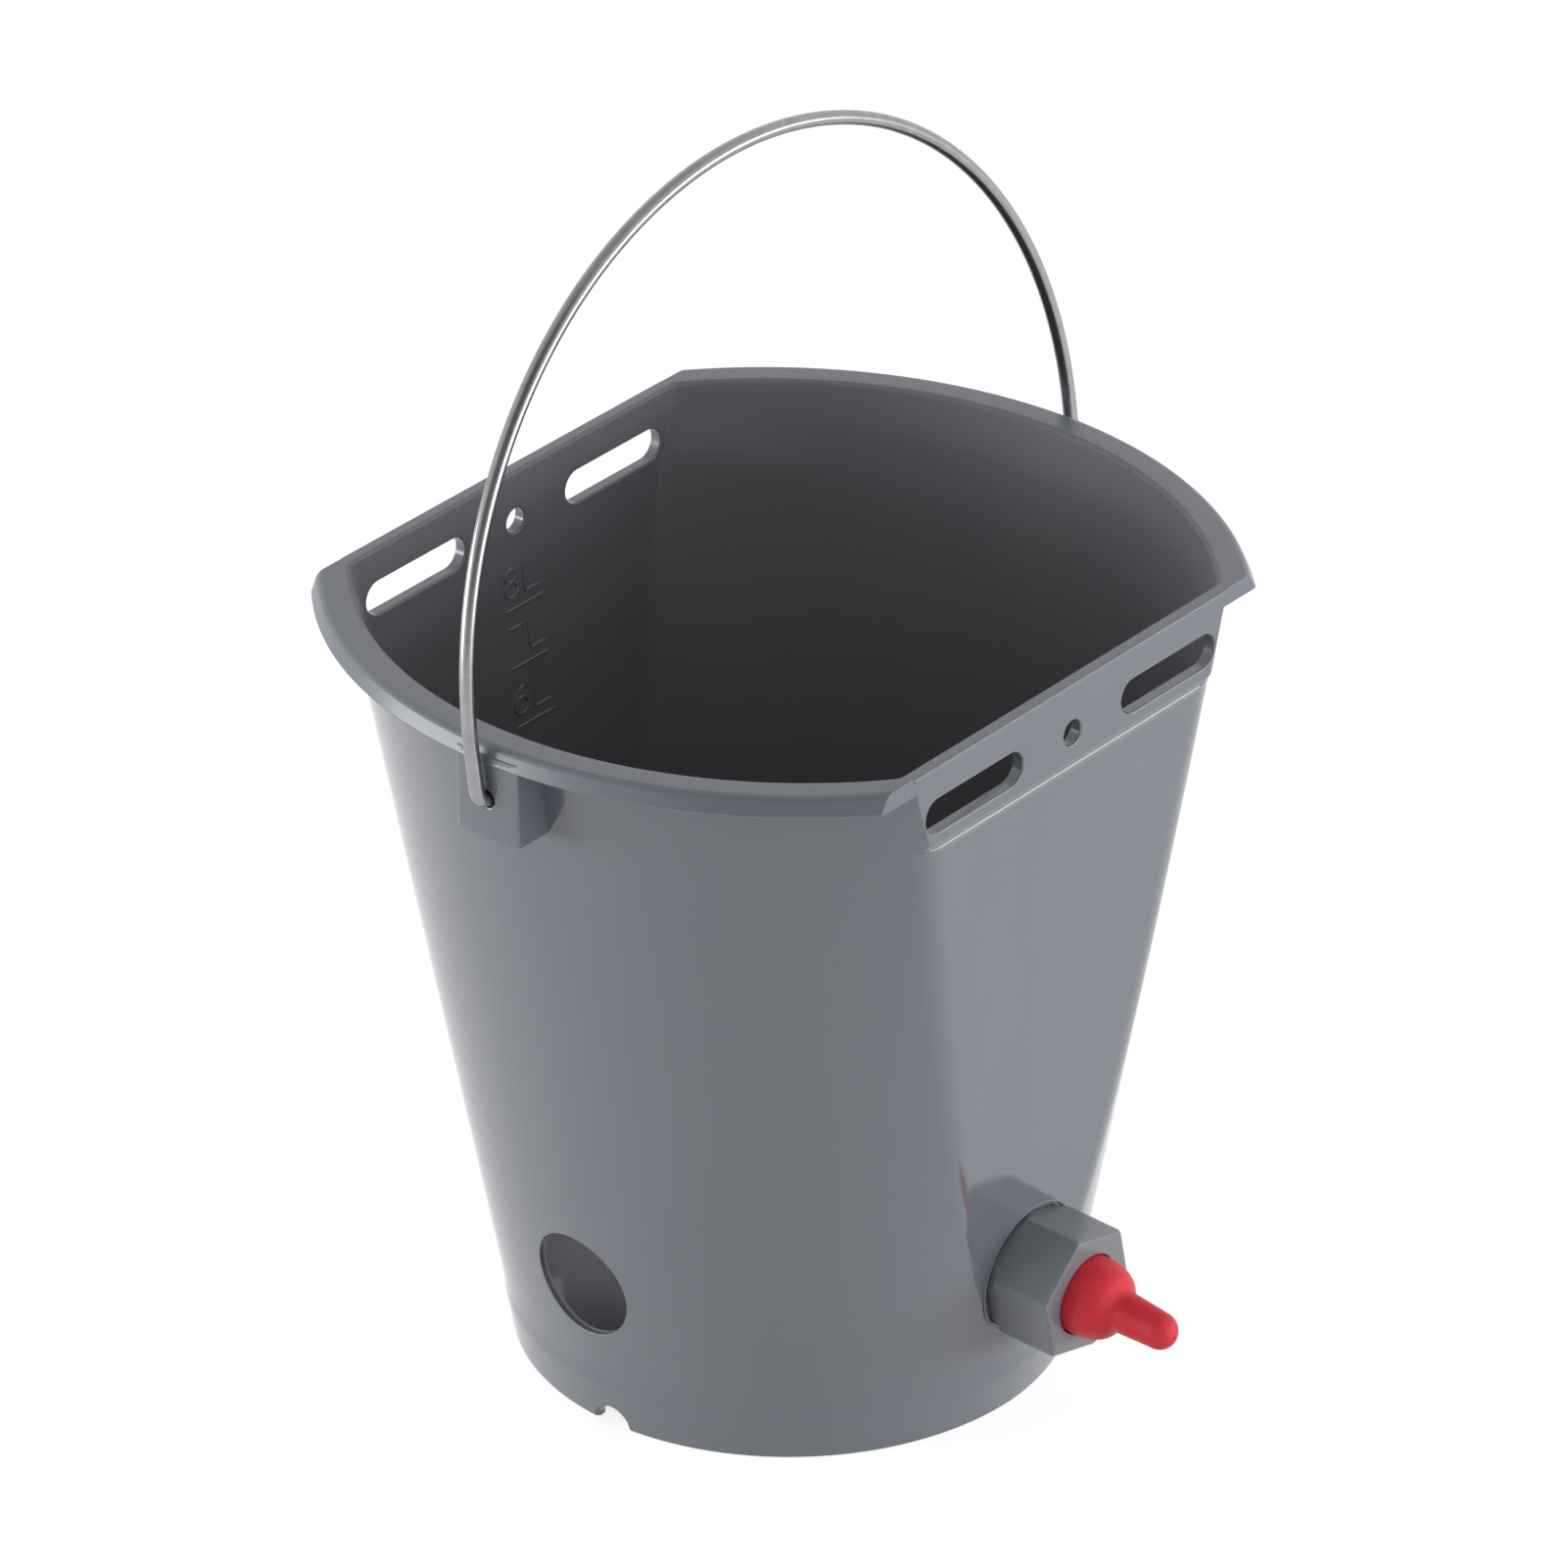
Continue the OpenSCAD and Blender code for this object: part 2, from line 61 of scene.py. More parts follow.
class Side(Enum):
    """The two curved sides of the bucket, with the sign of their X."""

    HAND = -1
    FAR = 1


class Panel(Enum):
    """The two flat sides of the bucket, with the sign of their Y."""

    FRONT = -1
    REAR = 1


class Cut(Enum):
    """How one closed mesh acts on another."""

    JOIN = "UNION"
    REMOVE = "DIFFERENCE"
    KEEP_COMMON = "INTERSECT"


# Mesh tools


def ring(points: Sequence[Sequence[float]]) -> np.ndarray:
    """Returns points in millimetres as an array with one row for each point."""
    return np.array(points, float).reshape(-1, 3)


def round_steps(count: int) -> np.ndarray:
    """Returns the angles of one full turn, in even steps and without its end."""
    return np.linspace(0, FULL_TURN, count, endpoint=False)


def new_object(name: str, verts: Sequence[Sequence[float]],
               faces: Sequence[tuple[int, ...]]) -> Obj:
    """Makes a mesh object in the scene from corners in metres and faces.

    Args:
        name: Name of the object and its mesh.
        verts: Corners in metres.
        faces: Numbers of the corners of each face.

    Returns:
        The new object.
    """
    mesh = bpy.data.meshes.new(name)
    mesh.from_pydata(verts, [], faces)
    obj = bpy.data.objects.new(name, mesh)
    bpy.context.scene.collection.objects.link(obj)
    return obj


def placing(columns: Sequence[Sequence[float]], origin: Sequence[float]) -> Matrix:
    """Returns the matrix with three axes as its columns and an origin in metres.

    Args:
        columns: Directions of the X, Y and Z axes.
        origin: Place of the origin.

    Returns:
        The matrix.
    """
    matrix = Matrix.Identity(4)
    for column, axis in enumerate(columns):
        for row in range(3):
            matrix[row][column] = axis[row]
    matrix.translation = Vector(origin)
    return matrix


def skin(name: str, rows: Rows, closed: bool = False) -> Obj:
    """Skins a stack of closed rings, all with the same number of points.

    Args:
        name: Name of the new object.
        rows: Rings in millimetres, from one end to the other.
        closed: True joins the last ring to the first; False caps both ends with a fan.

    Returns:
        The new mesh object, with its normals outwards.
    """
    count, levels = len(rows[0]), len(rows)
    verts = np.concatenate(rows) * MM
    following = [(j + 1) % count for j in range(count)]
    faces: list[tuple[int, ...]] = []
    for i in range(levels if closed else levels - 1):
        a, b = i * count, ((i + 1) % levels) * count
        faces += [(a + j, a + k, b + k, b + j) for j, k in enumerate(following)]
    if not closed:
        verts = np.concatenate([verts, [rows[0].mean(0) * MM, rows[-1].mean(0) * MM]])
        cap, top = levels * count, (levels - 1) * count
        for j, k in enumerate(following):
            faces += [(cap, k, j), (cap + 1, top + j, top + k)]
    obj = new_object(name, [tuple(v) for v in verts], faces)
    obj.data.validate()
    point_outwards(obj)
    return obj


def point_outwards(obj: Obj) -> None:
    """Flips every face when the closed mesh has a negative volume.

    Args:
        obj: A closed mesh object.
    """
    mesh = obj.data
    mesh.calc_loop_triangles()
    co = np.array([v.co for v in mesh.vertices], float)
    tri = np.array([t.vertices for t in mesh.loop_triangles], int)
    a, b, c = co[tri[:, 0]], co[tri[:, 1]], co[tri[:, 2]]
    if np.einsum("ij,ij->i", a, np.cross(b, c)).sum() < 0:
        mesh.flip_normals()


def combine(obj: Obj, others: Sequence[Obj], cut: Cut) -> Obj:
    """Applies closed meshes to another one and deletes them.

    Args:
        obj: The object that is changed.
        others: The objects that act on it, in order.
        cut: Whether they are joined to it, removed from it, or keep what is common.

    Returns:
        The changed object.
    """
    for other in others:
        modifier = obj.modifiers.new("cut", "BOOLEAN")
        modifier.operation = cut.value
        modifier.solver = "MANIFOLD"
        modifier.object = other
    graph = bpy.context.evaluated_depsgraph_get()
    mesh = bpy.data.meshes.new_from_object(obj.evaluated_get(graph))
    obj.modifiers.clear()
    old = obj.data
    obj.data = mesh
    bpy.data.meshes.remove(old)
    for other in others:
        bpy.data.objects.remove(other)
    return obj


def soften(obj: Obj, sharp: float = 34.0) -> Obj:
    """Shades a mesh smoothly except over edges sharper than an angle.

    Args:
        obj: The mesh object.
        sharp: Angle in degrees above which an edge stays crisp.

    Returns:
        The same object.
    """
    mesh = obj.data
    mesh.polygons.foreach_set("use_smooth", [True] * len(mesh.polygons))
    mesh.set_sharp_from_angle(angle=math.radians(sharp))
    weighted = obj.modifiers.new("even normals", "WEIGHTED_NORMAL")
    weighted.keep_sharp = True
    weighted.weight = 80
    return obj


def dress(obj: Obj, material: Material) -> Obj:
    """Gives the whole object one material.

    Args:
        obj: A mesh object.
        material: Its finish.

    Returns:
        The same object.
    """
    obj.data.materials.clear()
    obj.data.materials.append(material)
    return obj


def quarter_round(radius: float, steps: int) -> Pairs:
    """Returns (offset, depth) pairs of a rounded edge, from the face down into the hole."""
    angles = [QUARTER * i / steps for i in range(steps + 1)]
    return [(radius * (1 - math.sin(a)), radius * (1 - math.cos(a))) for a in angles]


def join_meshes(name: str, parts: Sequence[Obj]) -> Obj:
    """Gathers the faces of several mesh objects in one new object and deletes them.

    Args:
        name: Name of the new object.
        parts: The objects that are joined.

    Returns:
        The new object.
    """
    verts: list[Triple] = []
    faces: list[tuple[int, ...]] = []
    for part in parts:
        start = len(verts)
        verts += [tuple(v.co) for v in part.data.vertices]
        faces += [tuple(start + i for i in p.vertices) for p in part.data.polygons]
        bpy.data.objects.remove(part)
    return new_object(name, verts, faces)


# Finishes


class Nodes:
    """Adds nodes to one node tree."""

    def __init__(self, tree: bpy.types.NodeTree) -> None:
        """Keeps the tree that the nodes go into."""
        self.tree = tree

    def fill(self, socket: Socket, value: object) -> None:
        """Links a value that comes from a node, and writes any other on the socket itself.

        Args:
            socket: An input of a node.
            value: An output, a number or a tuple.
        """
        if isinstance(value, Socket):
            self.tree.links.new(value, socket)
        else:
            socket.default_value = value

    def node(self, kind: str, **inputs: object) -> bpy.types.Node:
        """Adds a node and fills its inputs, by value or by link.

        Args:
            kind: Blender's name of the node type.
            **inputs: Socket names, with spaces written as underscores.

        Returns:
            The new node.
        """
        made = self.tree.nodes.new(kind)
        for key, value in inputs.items():
            self.fill(made.inputs[key.replace("_", " ")], value)
        return made

    def calc(self, operation: str, *values: object) -> Socket:
        """Adds a math node with links or numbers as its inputs, in order.

        Args:
            operation: Blender's name of the operation.
            *values: Its inputs.

        Returns:
            The result.
        """
        made = self.tree.nodes.new("ShaderNodeMath")
        made.operation = operation
        for socket, value in zip(made.inputs, values):
            self.fill(socket, value)
        return made.outputs[0]

    def vector(self, operation: str, *values: object) -> bpy.types.Node:
        """Adds a vector math node with links or triples as its inputs, in order.

        Args:
            operation: Blender's name of the operation.
            *values: Its inputs.

        Returns:
            The new node, which has a vector and a number as its outputs.
        """
        made = self.tree.nodes.new("ShaderNodeVectorMath")
        made.operation = operation
        for socket, value in zip(made.inputs, values):
            self.fill(socket, value)
        return made

    def change(self, value: Socket, start: float, end: float, first: float = 0.0,
               last: float = 1.0, soft: bool = False) -> Socket:
        """Goes from one level to another while a value goes from its start to its end.

        Args:
            value: What sets the level.
            start: Value at which the change begins.
            end: Value at which it ends.
            first: Level before the change.
            last: Level after it.
            soft: True eases the change in and out.

        Returns:
            The level.
        """
        made = self.node("ShaderNodeMapRange", Value=value, From_Min=start, From_Max=end,
                         To_Min=first, To_Max=last)
        if soft:
            made.interpolation_type = "SMOOTHSTEP"
        return made.outputs["Result"]


class Graph(Nodes):
    """Builds the node tree of one material."""

    NOISE_LOW = 0.3
    NOISE_HIGH = 0.7

    def __init__(self, name: str) -> None:
        """Makes a material with a Principled shader and object coordinates.

        Args:
            name: Name of the material.
        """
        self.material = bpy.data.materials.new(name)
        self.material.use_nodes = True
        super().__init__(self.material.node_tree)
        self.shader = self.tree.nodes["Principled BSDF"]
        self.place = self.tree.nodes.new("ShaderNodeTexCoord").outputs["Object"]

    def noise(self, scale: float, detail: float = 2.0, rough: float = 0.5,
              stretch: Triple = (1, 1, 1)) -> Socket:
        """Returns the factor of a noise texture over the object's own coordinates.

        Args:
            scale: Size of the pattern, larger is finer.
            detail: Number of octaves.
            rough: Share of the finer octaves.
            stretch: Scale along each axis.

        Returns:
            The factor, mostly between NOISE_LOW and NOISE_HIGH.
        """
        mapping = self.node("ShaderNodeMapping", Vector=self.place, Scale=stretch)
        made = self.node("ShaderNodeTexNoise", Vector=mapping.outputs["Vector"], Scale=scale,
                         Detail=detail, Roughness=rough)
        return made.outputs["Fac"]

    def ramp(self, noise: Socket, low: float, high: float) -> Socket:
        """Maps a noise factor onto a range."""
        return self.change(noise, self.NOISE_LOW, self.NOISE_HIGH, low, high)

    def blend_colours(self, factor: Socket, first: Colour, second: Colour) -> Socket:
        """Mixes two colours by a factor.

        Args:
            factor: 0 gives the first colour and 1 the second.
            first: A linear colour.
            second: Another one.

        Returns:
            The mixture.
        """
        made = self.tree.nodes.new("ShaderNodeMix")
        made.data_type = "RGBA"
        for index, value in ((0, factor), (6, (*first, 1)), (7, (*second, 1))):
            self.fill(made.inputs[index], value)
        return made.outputs[2]

    def tinted(self, colour: Socket, mask: Socket, tint: Colour) -> Socket:
        """Multiplies a colour by a tint where a mask is 1."""
        share = self.blend_colours(mask, (1, 1, 1), tint)
        return self.vector("MULTIPLY", colour, share).outputs[0]

    def reach(self, x: Socket, y: Socket) -> Socket:
        """Returns the length of a level vector."""
        both = self.calc("ADD", self.calc("MULTIPLY", x, x), self.calc("MULTIPLY", y, y))
        return self.calc("SQRT", both)

    def bump(self, height: Socket, strength: float, distance: float,
             normal: Socket | None = None) -> Socket:
        """Adds a bump of a real height in metres, over an earlier one if given.

        Args:
            height: What gives the relief.
            strength: Share of the relief.
            distance: Its full height in metres.
            normal: The normal of an earlier bump.

        Returns:
            The new normal.
        """
        made = self.node("ShaderNodeBump", Height=height, Strength=strength, Distance=distance)
        if normal is not None:
            self.fill(made.inputs["Normal"], normal)
        return made.outputs["Normal"]

    def set(self, **values: object) -> None:
        """Fills the shader's own sockets, by value or by link."""
        for key, value in values.items():
            self.fill(self.shader.inputs[key.replace("_", " ")], value)


@dataclass(frozen=True)
class BucketMasks:
    """Where the bucket's finish changes: painted shade and more roughness inside, more roughness
    on the rim, and painted light in the grip pocket.

    Lengths are in metres, because they are compared with the object's own coordinates.
    """

    inward_start: float = -0.01
    inward_end: float = -0.05
    rim_start: float = 0.264
    rim_end: float = 0.276
    pocket_x: float = -0.0962
    pocket_y: float = 0.006
    pocket_radius: Span = (0.0262, 0.0256)
    pocket_top: Span = (0.0826, 0.0822)
    pocket_depth: Span = (0.0015, 0.0025)

    def inward(self, g: Graph) -> Socket:
        """Returns 1 on upright faces that look at the middle of the bucket, else 0.

        Args:
            g: The tree of the material.

        Returns:
            The mask.
        """
        flat = g.vector("MULTIPLY", g.place, (1, 1, 0)).outputs[0]
        normal = g.node("ShaderNodeNewGeometry").outputs["Normal"]
        facing = g.vector("DOT_PRODUCT", flat, normal).outputs["Value"]
        return g.change(facing, self.inward_start, self.inward_end)

    def rim(self, g: Graph) -> Socket:
        """Returns 1 on the rim, which hands have rubbed dull, and 0 below it."""
        height = g.node("ShaderNodeSeparateXYZ", Vector=g.place).outputs["Z"]
        return g.change(height, self.rim_start, self.rim_end)

    def pocket(self, g: Graph) -> Socket:
        """Returns 1 on the grip pocket, behind the curved side's skin, where painted light
        brightens the colour, and 0 elsewhere.

        Args:
            g: The tree of the material.

        Returns:
            The mask.
        """
        form = BucketForm()
        x, y, z = g.node("ShaderNodeSeparateXYZ", Vector=g.place).outputs
        shift = g.calc("ADD", g.calc("MULTIPLY", z, form.offset_slope), form.base_offset * MM)
        radius = g.calc("ADD", g.calc("MULTIPLY", z, form.radius_slope), form.base_radius * MM)
        depth = g.calc("SUBTRACT", radius, g.reach(g.calc("SUBTRACT", x, shift), y))
        aside = g.reach(g.calc("SUBTRACT", x, self.pocket_x), g.calc("SUBTRACT", y, self.pocket_y))
        level = g.calc("MULTIPLY", g.change(aside, *self.pocket_radius),
                       g.change(z, *self.pocket_top))
        return g.calc("MULTIPLY", g.change(depth, *self.pocket_depth), level)


@dataclass(frozen=True)
class MouldedPlastic:
    """Semi-gloss moulded polypropylene with faint flow marks and fine scuffs.

    Each noise is (scale, detail, roughness), and depths are in metres.
    """

    name: str
    base: Colour
    shade: Colour
    gloss: Span = (0.09, 0.13)
    ior: float = 1.49
    clouds: Triple = (22, 3, 0.55)
    cloud_stretch: Triple = (1, 1, 0.35)
    smudges: Triple = (60, 4, 0.6)
    flow: Triple = (9, 2, 0.5)
    flow_stretch: Triple = (1, 1, 0.25)
    flow_strength: float = 0.3
    flow_depth: float = 0.0005
    scuffs: Triple = (1400, 2, 0.5)
    scuff_strength: float = 0.5
    scuff_depth: float = 0.000008

    def colour(self, g: Graph) -> Socket:
        """Returns the clouded colour of the plastic."""
        clouds = g.noise(*self.clouds, self.cloud_stretch)
        return g.blend_colours(g.ramp(clouds, 0, 1), self.base, self.shade)

    def rough(self, g: Graph) -> Socket:
        """Returns the uneven roughness of the plastic."""
        return g.ramp(g.noise(*self.smudges), *self.gloss)

    def material(self) -> Material:
        """Returns the finished material.

        Returns:
            The material, ready to use.
        """
        g = Graph(self.name)
        g.set(Base_Color=self.colour(g), Roughness=self.rough(g), IOR=self.ior)
        flow = g.bump(g.noise(*self.flow, self.flow_stretch), self.flow_strength,
                      self.flow_depth)
        g.set(Normal=g.bump(g.noise(*self.scuffs), self.scuff_strength, self.scuff_depth, flow))
        return g.material


@dataclass(frozen=True)
class BucketPlastic(MouldedPlastic):
    """The bucket's plastic: a painted shade tint, darker and warmer, and duller inside, duller on
    the rim, and painted light that makes the pocket paler.
    """

    # core is painted shade: a darker, warmer tint on the faces that look into the bucket.
    core: Colour = (1.0, 0.88, 0.82)
    core_rough: float = 0.28
    rim_rough: float = 0.2
    # Painted light: makes the grip pocket behind the hand hole paler than the wall.
    pocket_painted_light: Colour = (2.7, 2.45, 2.25)
    masks: BucketMasks = field(default_factory=BucketMasks)

    def colour(self, g: Graph) -> Socket:
        """Returns the clouded colour with painted shade on the inside and painted light in the
        pocket.
        """
        inside = g.tinted(super().colour(g), self.masks.inward(g), self.core)
        return g.tinted(inside, self.masks.pocket(g), self.pocket_painted_light)

    def rough(self, g: Graph) -> Socket:
        """Returns the roughness, raised inside and on the rim."""
        inside = g.calc("MULTIPLY_ADD", self.masks.inward(g), self.core_rough, super().rough(g))
        return g.calc("MULTIPLY_ADD", self.masks.rim(g), self.rim_rough, inside)


@dataclass(frozen=True)
class GrainedFinish:
    """A finish with a mottled colour, an uneven gloss and a fine grain.

    Each noise is (scale, detail, roughness).
    """

    name: str
    first: Colour
    second: Colour
    mottle: Triple
    gloss: Span
    smudges: Triple
    grain: Triple
    grain_strength: float
    grain_depth: float

    def graph(self) -> Graph:
        """Returns the node tree, ready for what only one finish has.

        Returns:
            The tree, with its material.
        """
        g = Graph(self.name)
        mottle = g.ramp(g.noise(*self.mottle), 0, 1)
        g.set(Base_Color=g.blend_colours(mottle, self.first, self.second),
              Roughness=g.ramp(g.noise(*self.smudges), *self.gloss),
              Normal=g.bump(g.noise(*self.grain), self.grain_strength, self.grain_depth))
        return g


@dataclass(frozen=True)
class GalvanisedWire(GrainedFinish):
    """Drawn steel wire with a thin dull zinc coat."""

    name: str = "galvanised_wire"
    first: Colour = (0.31, 0.31, 0.325)
    second: Colour = (0.36, 0.355, 0.37)
    mottle: Triple = (260, 2, 0.5)
    gloss: Span = (0.18, 0.26)
    smudges: Triple = (160, 3, 0.6)
    grain: Triple = (700, 2, 0.5)
    grain_strength: float = 0.15
    grain_depth: float = 0.00001
    metallic: float = 0.9

    def material(self) -> Material:
        """Returns the finished material."""
        g = self.graph()
        g.set(Metallic=self.metallic)
        return g.material


@dataclass(frozen=True)
class TeatRubber(GrainedFinish):
    """Smooth red rubber with a faint bloom and a fine matt grain."""

    name: str = "red_rubber"
    first: Colour = (0.88, 0.028, 0.050)
    second: Colour = (0.93, 0.044, 0.068)
    mottle: Triple = (70, 3, 0.6)
    gloss: Span = (0.46, 0.58)
    smudges: Triple = (240, 3, 0.6)
    grain: Triple = (2200, 2, 0.5)
    grain_strength: float = 0.4
    grain_depth: float = 0.00003
    ior: float = 1.45
    glow_weight: float = 0.1
    glow_depth: float = 0.004

    def material(self) -> Material:
        """Returns the finished material."""
        g = self.graph()
        g.set(IOR=self.ior, Subsurface_Weight=self.glow_weight, Subsurface_Scale=self.glow_depth)
        return g.material


@dataclass(frozen=True)
class SealRubber(GrainedFinish):
    """Matt black rubber of the flat seal."""

    name: str = "black_rubber"
    first: Colour = (0.018, 0.018, 0.019)
    second: Colour = (0.035, 0.034, 0.034)
    mottle: Triple = (180, 3, 0.5)
    gloss: Span = (0.6, 0.8)
    smudges: Triple = (500, 3, 0.5)
    grain: Triple = (2600, 2, 0.5)
    grain_strength: float = 0.5
    grain_depth: float = 0.00004

    def material(self) -> Material:
        """Returns the finished material."""
        return self.graph().material


@dataclass(frozen=True)
class StudioPaper:
    """Seamless paper that the camera sees as white and that keeps a soft shadow."""

    name: str = "studio_paper"
    tone: float = 0.55
    dark_fibre: float = 0.97
    fibre_scale: float = 3
    glow: float = 0.8
    rough: float = 0.9
    sheen: float = 0.1

    def material(self) -> Material:
        """Returns the finished material.

        Returns:
            The material, ready to use.
        """
        g = Graph(self.name)
        path = g.node("ShaderNodeLightPath").outputs
        seen = path["Is Camera Ray"]
        for name in ("Is Glossy Ray", "Is Transmission Ray"):
            seen = g.calc("MAXIMUM", seen, path[name])
        g.set(Roughness=self.rough, Specular_IOR_Level=self.sheen,
              Base_Color=g.ramp(g.noise(self.fibre_scale), self.tone * self.dark_fibre, self.tone),
              Emission_Color=(1, 1, 1, 1), Emission_Strength=g.calc("MULTIPLY", seen, self.glow))
        return g.material


# The bucket


@dataclass
class Section:
    """One level of the wall: two curved sides, two flat sides and soft corners.

    All values may be arrays with one entry for each column of a quadrant.
    """

    flat_cells: int = 14
    corner_cells: int = 8
    arc_cells: int = 84

    def quadrant(self, radius: np.ndarray, offset: np.ndarray, flat: np.ndarray,
                 corner: np.ndarray) -> tuple[np.ndarray, np.ndarray]:
        """Lays one quadrant, from the middle of the flat side to the middle of the curved side.

        Args:
            radius: Radius of the curved side in each column.
            offset: How far its centre lies past the middle.
            flat: Distance of the flat side from the middle.
            corner: Radius of the soft corner.

        Returns:
            The x and y of each column, both positive.
        """
        reach = np.maximum((radius - corner) ** 2 - (flat - corner) ** 2, 0)
        centre = np.sqrt(reach) - offset
        none = flat - corner >= radius - corner
        meet = np.where(none, 0, (centre + offset) * radius / (radius - corner) - offset)
        first = np.maximum(centre, 1.0)
        second = np.maximum(meet, first + 0.8)
        n1, n2, n3 = self.flat_cells, self.corner_cells, self.arc_cells
        i = np.arange(n1 + n2 + n3 + 1)
        t1 = np.clip(i / n1, 0, 1)
        t2 = np.clip((i - n1) / n2, 0, 1)
        t3 = np.clip((i - n1 - n2) / n3, 0, 1)
        x = first * t1 + (second - first) * t2
        y = self.height(x, radius, offset, flat, corner, centre, meet)
        start = np.arctan2(y, x + offset)
        angle = start * (1 - t3)
        on_arc = i > n1 + n2
        x = np.where(on_arc, radius * np.cos(angle) - offset, x)
        y = np.where(on_arc, radius * np.sin(angle), y)
        return x, y

    @staticmethod
    def height(x: np.ndarray, radius: np.ndarray, offset: np.ndarray, flat: np.ndarray,
               corner: np.ndarray, centre: np.ndarray, meet: np.ndarray) -> np.ndarray:
        """Returns y over x along the flat side, its soft corner and the start of the arc.

        Args:
            x: Distance of each column from the middle.
            radius: Radius of the curved side.
            offset: How far its centre lies past the middle.
            flat: Distance of the flat side from the middle.
            corner: Radius of the soft corner.
            centre: The x of its centre.
            meet: The x where it runs into the curved side.

        Returns:
            The y of each column.
        """
        arc = np.sqrt(np.maximum(radius ** 2 - (x + offset) ** 2, 0))
        bend = flat - corner + np.sqrt(np.maximum(corner ** 2 - (x - centre) ** 2, 0))
        return np.where(x < centre, np.minimum(flat, arc), np.where(x < meet, bend, arc))


@dataclass
class BucketForm:
    """Sizes of the moulded bucket, in millimetres, and the outline of its walls."""

    rim_height: float = 283.6
    base_radius: float = 95.13
    radius_slope: float = 0.21255
    base_offset: float = 1.003
    offset_slope: float = 0.05196
    foot_height: float = 14.0
    foot_out: float = 0.8
    foot_draft: float = 0.1
    kink_out: float = 0.7
    kink_reach: float = 5.0
    wall: float = 3.0
    panel_base: float = 98.7
    panel_slope: float = 0.08456
    panel_wall: float = 3.2
    band_outer: float = 120.8
    band_inner: float = 116.2
    band_low: float = 255.4
    panel_top: float = 251.9
    panel_corner: float = 20.0
    floor_height: float = 32.0
    floor_wall: float = 3.0
    floor_slope: float = 0.0594
    section: Section = field(default_factory=Section)

    def columns(self) -> int:
        """Returns the number of columns of one quadrant, both ends counted."""
        s = self.section
        return s.flat_cells + s.corner_cells + s.arc_cells + 1

    def outer_flat(self, z: np.ndarray) -> np.ndarray:
        """Returns the distance of the drafted panel from the middle."""
        return self.panel_base + self.panel_slope * z

    def inner_flat(self, z: np.ndarray) -> np.ndarray:
        """Returns the distance of the inner face of a flat side from the middle."""
        foot = self.panel_base - self.panel_wall
        slope = (self.band_inner - foot) / self.band_low
        return np.minimum(foot + slope * np.maximum(z, 0), self.band_inner)

    def ring(self, z: float, inset: float, flat: float | Callable[[np.ndarray], np.ndarray],
             corner: float, level: Callable[[np.ndarray], np.ndarray] | None = None) -> np.ndarray:
        """Lays a full ring of the wall.

        Args:
            z: Height that sets the curved sides.
            inset: How far the curved sides lie inside the outer wall.
            flat: Distance of the flat sides from the middle, or what gives it from the height.
            corner: Radius of the soft corners.
            level: Gives the height of each point from its y, when the ring isn't level.

        Returns:
            The ring's points, counted from the front towards +X.
        """
        n = self.columns()
        quads = []
        for sign in (-1, 1):
            heights = np.full(n, float(z))
            for _ in range(1 if level is None else 3):
                flats = flat(heights) if callable(flat) else np.full(n, float(flat))
                x, y = self.section.quadrant(
                    self.base_radius + self.radius_slope * heights - inset,
                    self.base_offset + self.offset_slope * heights, flats, np.full(n, corner))
                if level is not None:
                    heights = level(sign * y)
            quads.append(np.stack([x, sign * y, heights], 1))
        front, rear = quads
        mirror = np.array([-1, 1, 1])
        return np.concatenate([front, rear[::-1][1:], (rear * mirror)[1:],
                               (front * mirror)[::-1][1:-1]])

    def floor_top(self, y: np.ndarray) -> np.ndarray:
        """Returns the height of the inner floor."""
        return self.floor_height + self.floor_slope * y

    def foot_swell(self, z: float) -> float:
        """Returns how far the foot stands out of the straight wall at a height."""
        if z < self.foot_height:
            return self.foot_out - self.foot_draft * z / self.foot_height
        return self.kink_out * math.exp(-((z - self.foot_height) / self.kink_reach) ** 2)

    def side_x(self, z: np.ndarray) -> np.ndarray:
        """Returns the half width of the bucket over its curved sides at the middle."""
        return (self.base_radius - self.base_offset
                + (self.radius_slope - self.offset_slope) * z)

    def side_face(self, y: np.ndarray, z: np.ndarray) -> np.ndarray:
        """Returns the distance of the curved side's outer face from the middle, along X."""
        radius = self.base_radius + self.radius_slope * z
        return np.sqrt(radius ** 2 - y ** 2) - self.base_offset - self.offset_slope * z


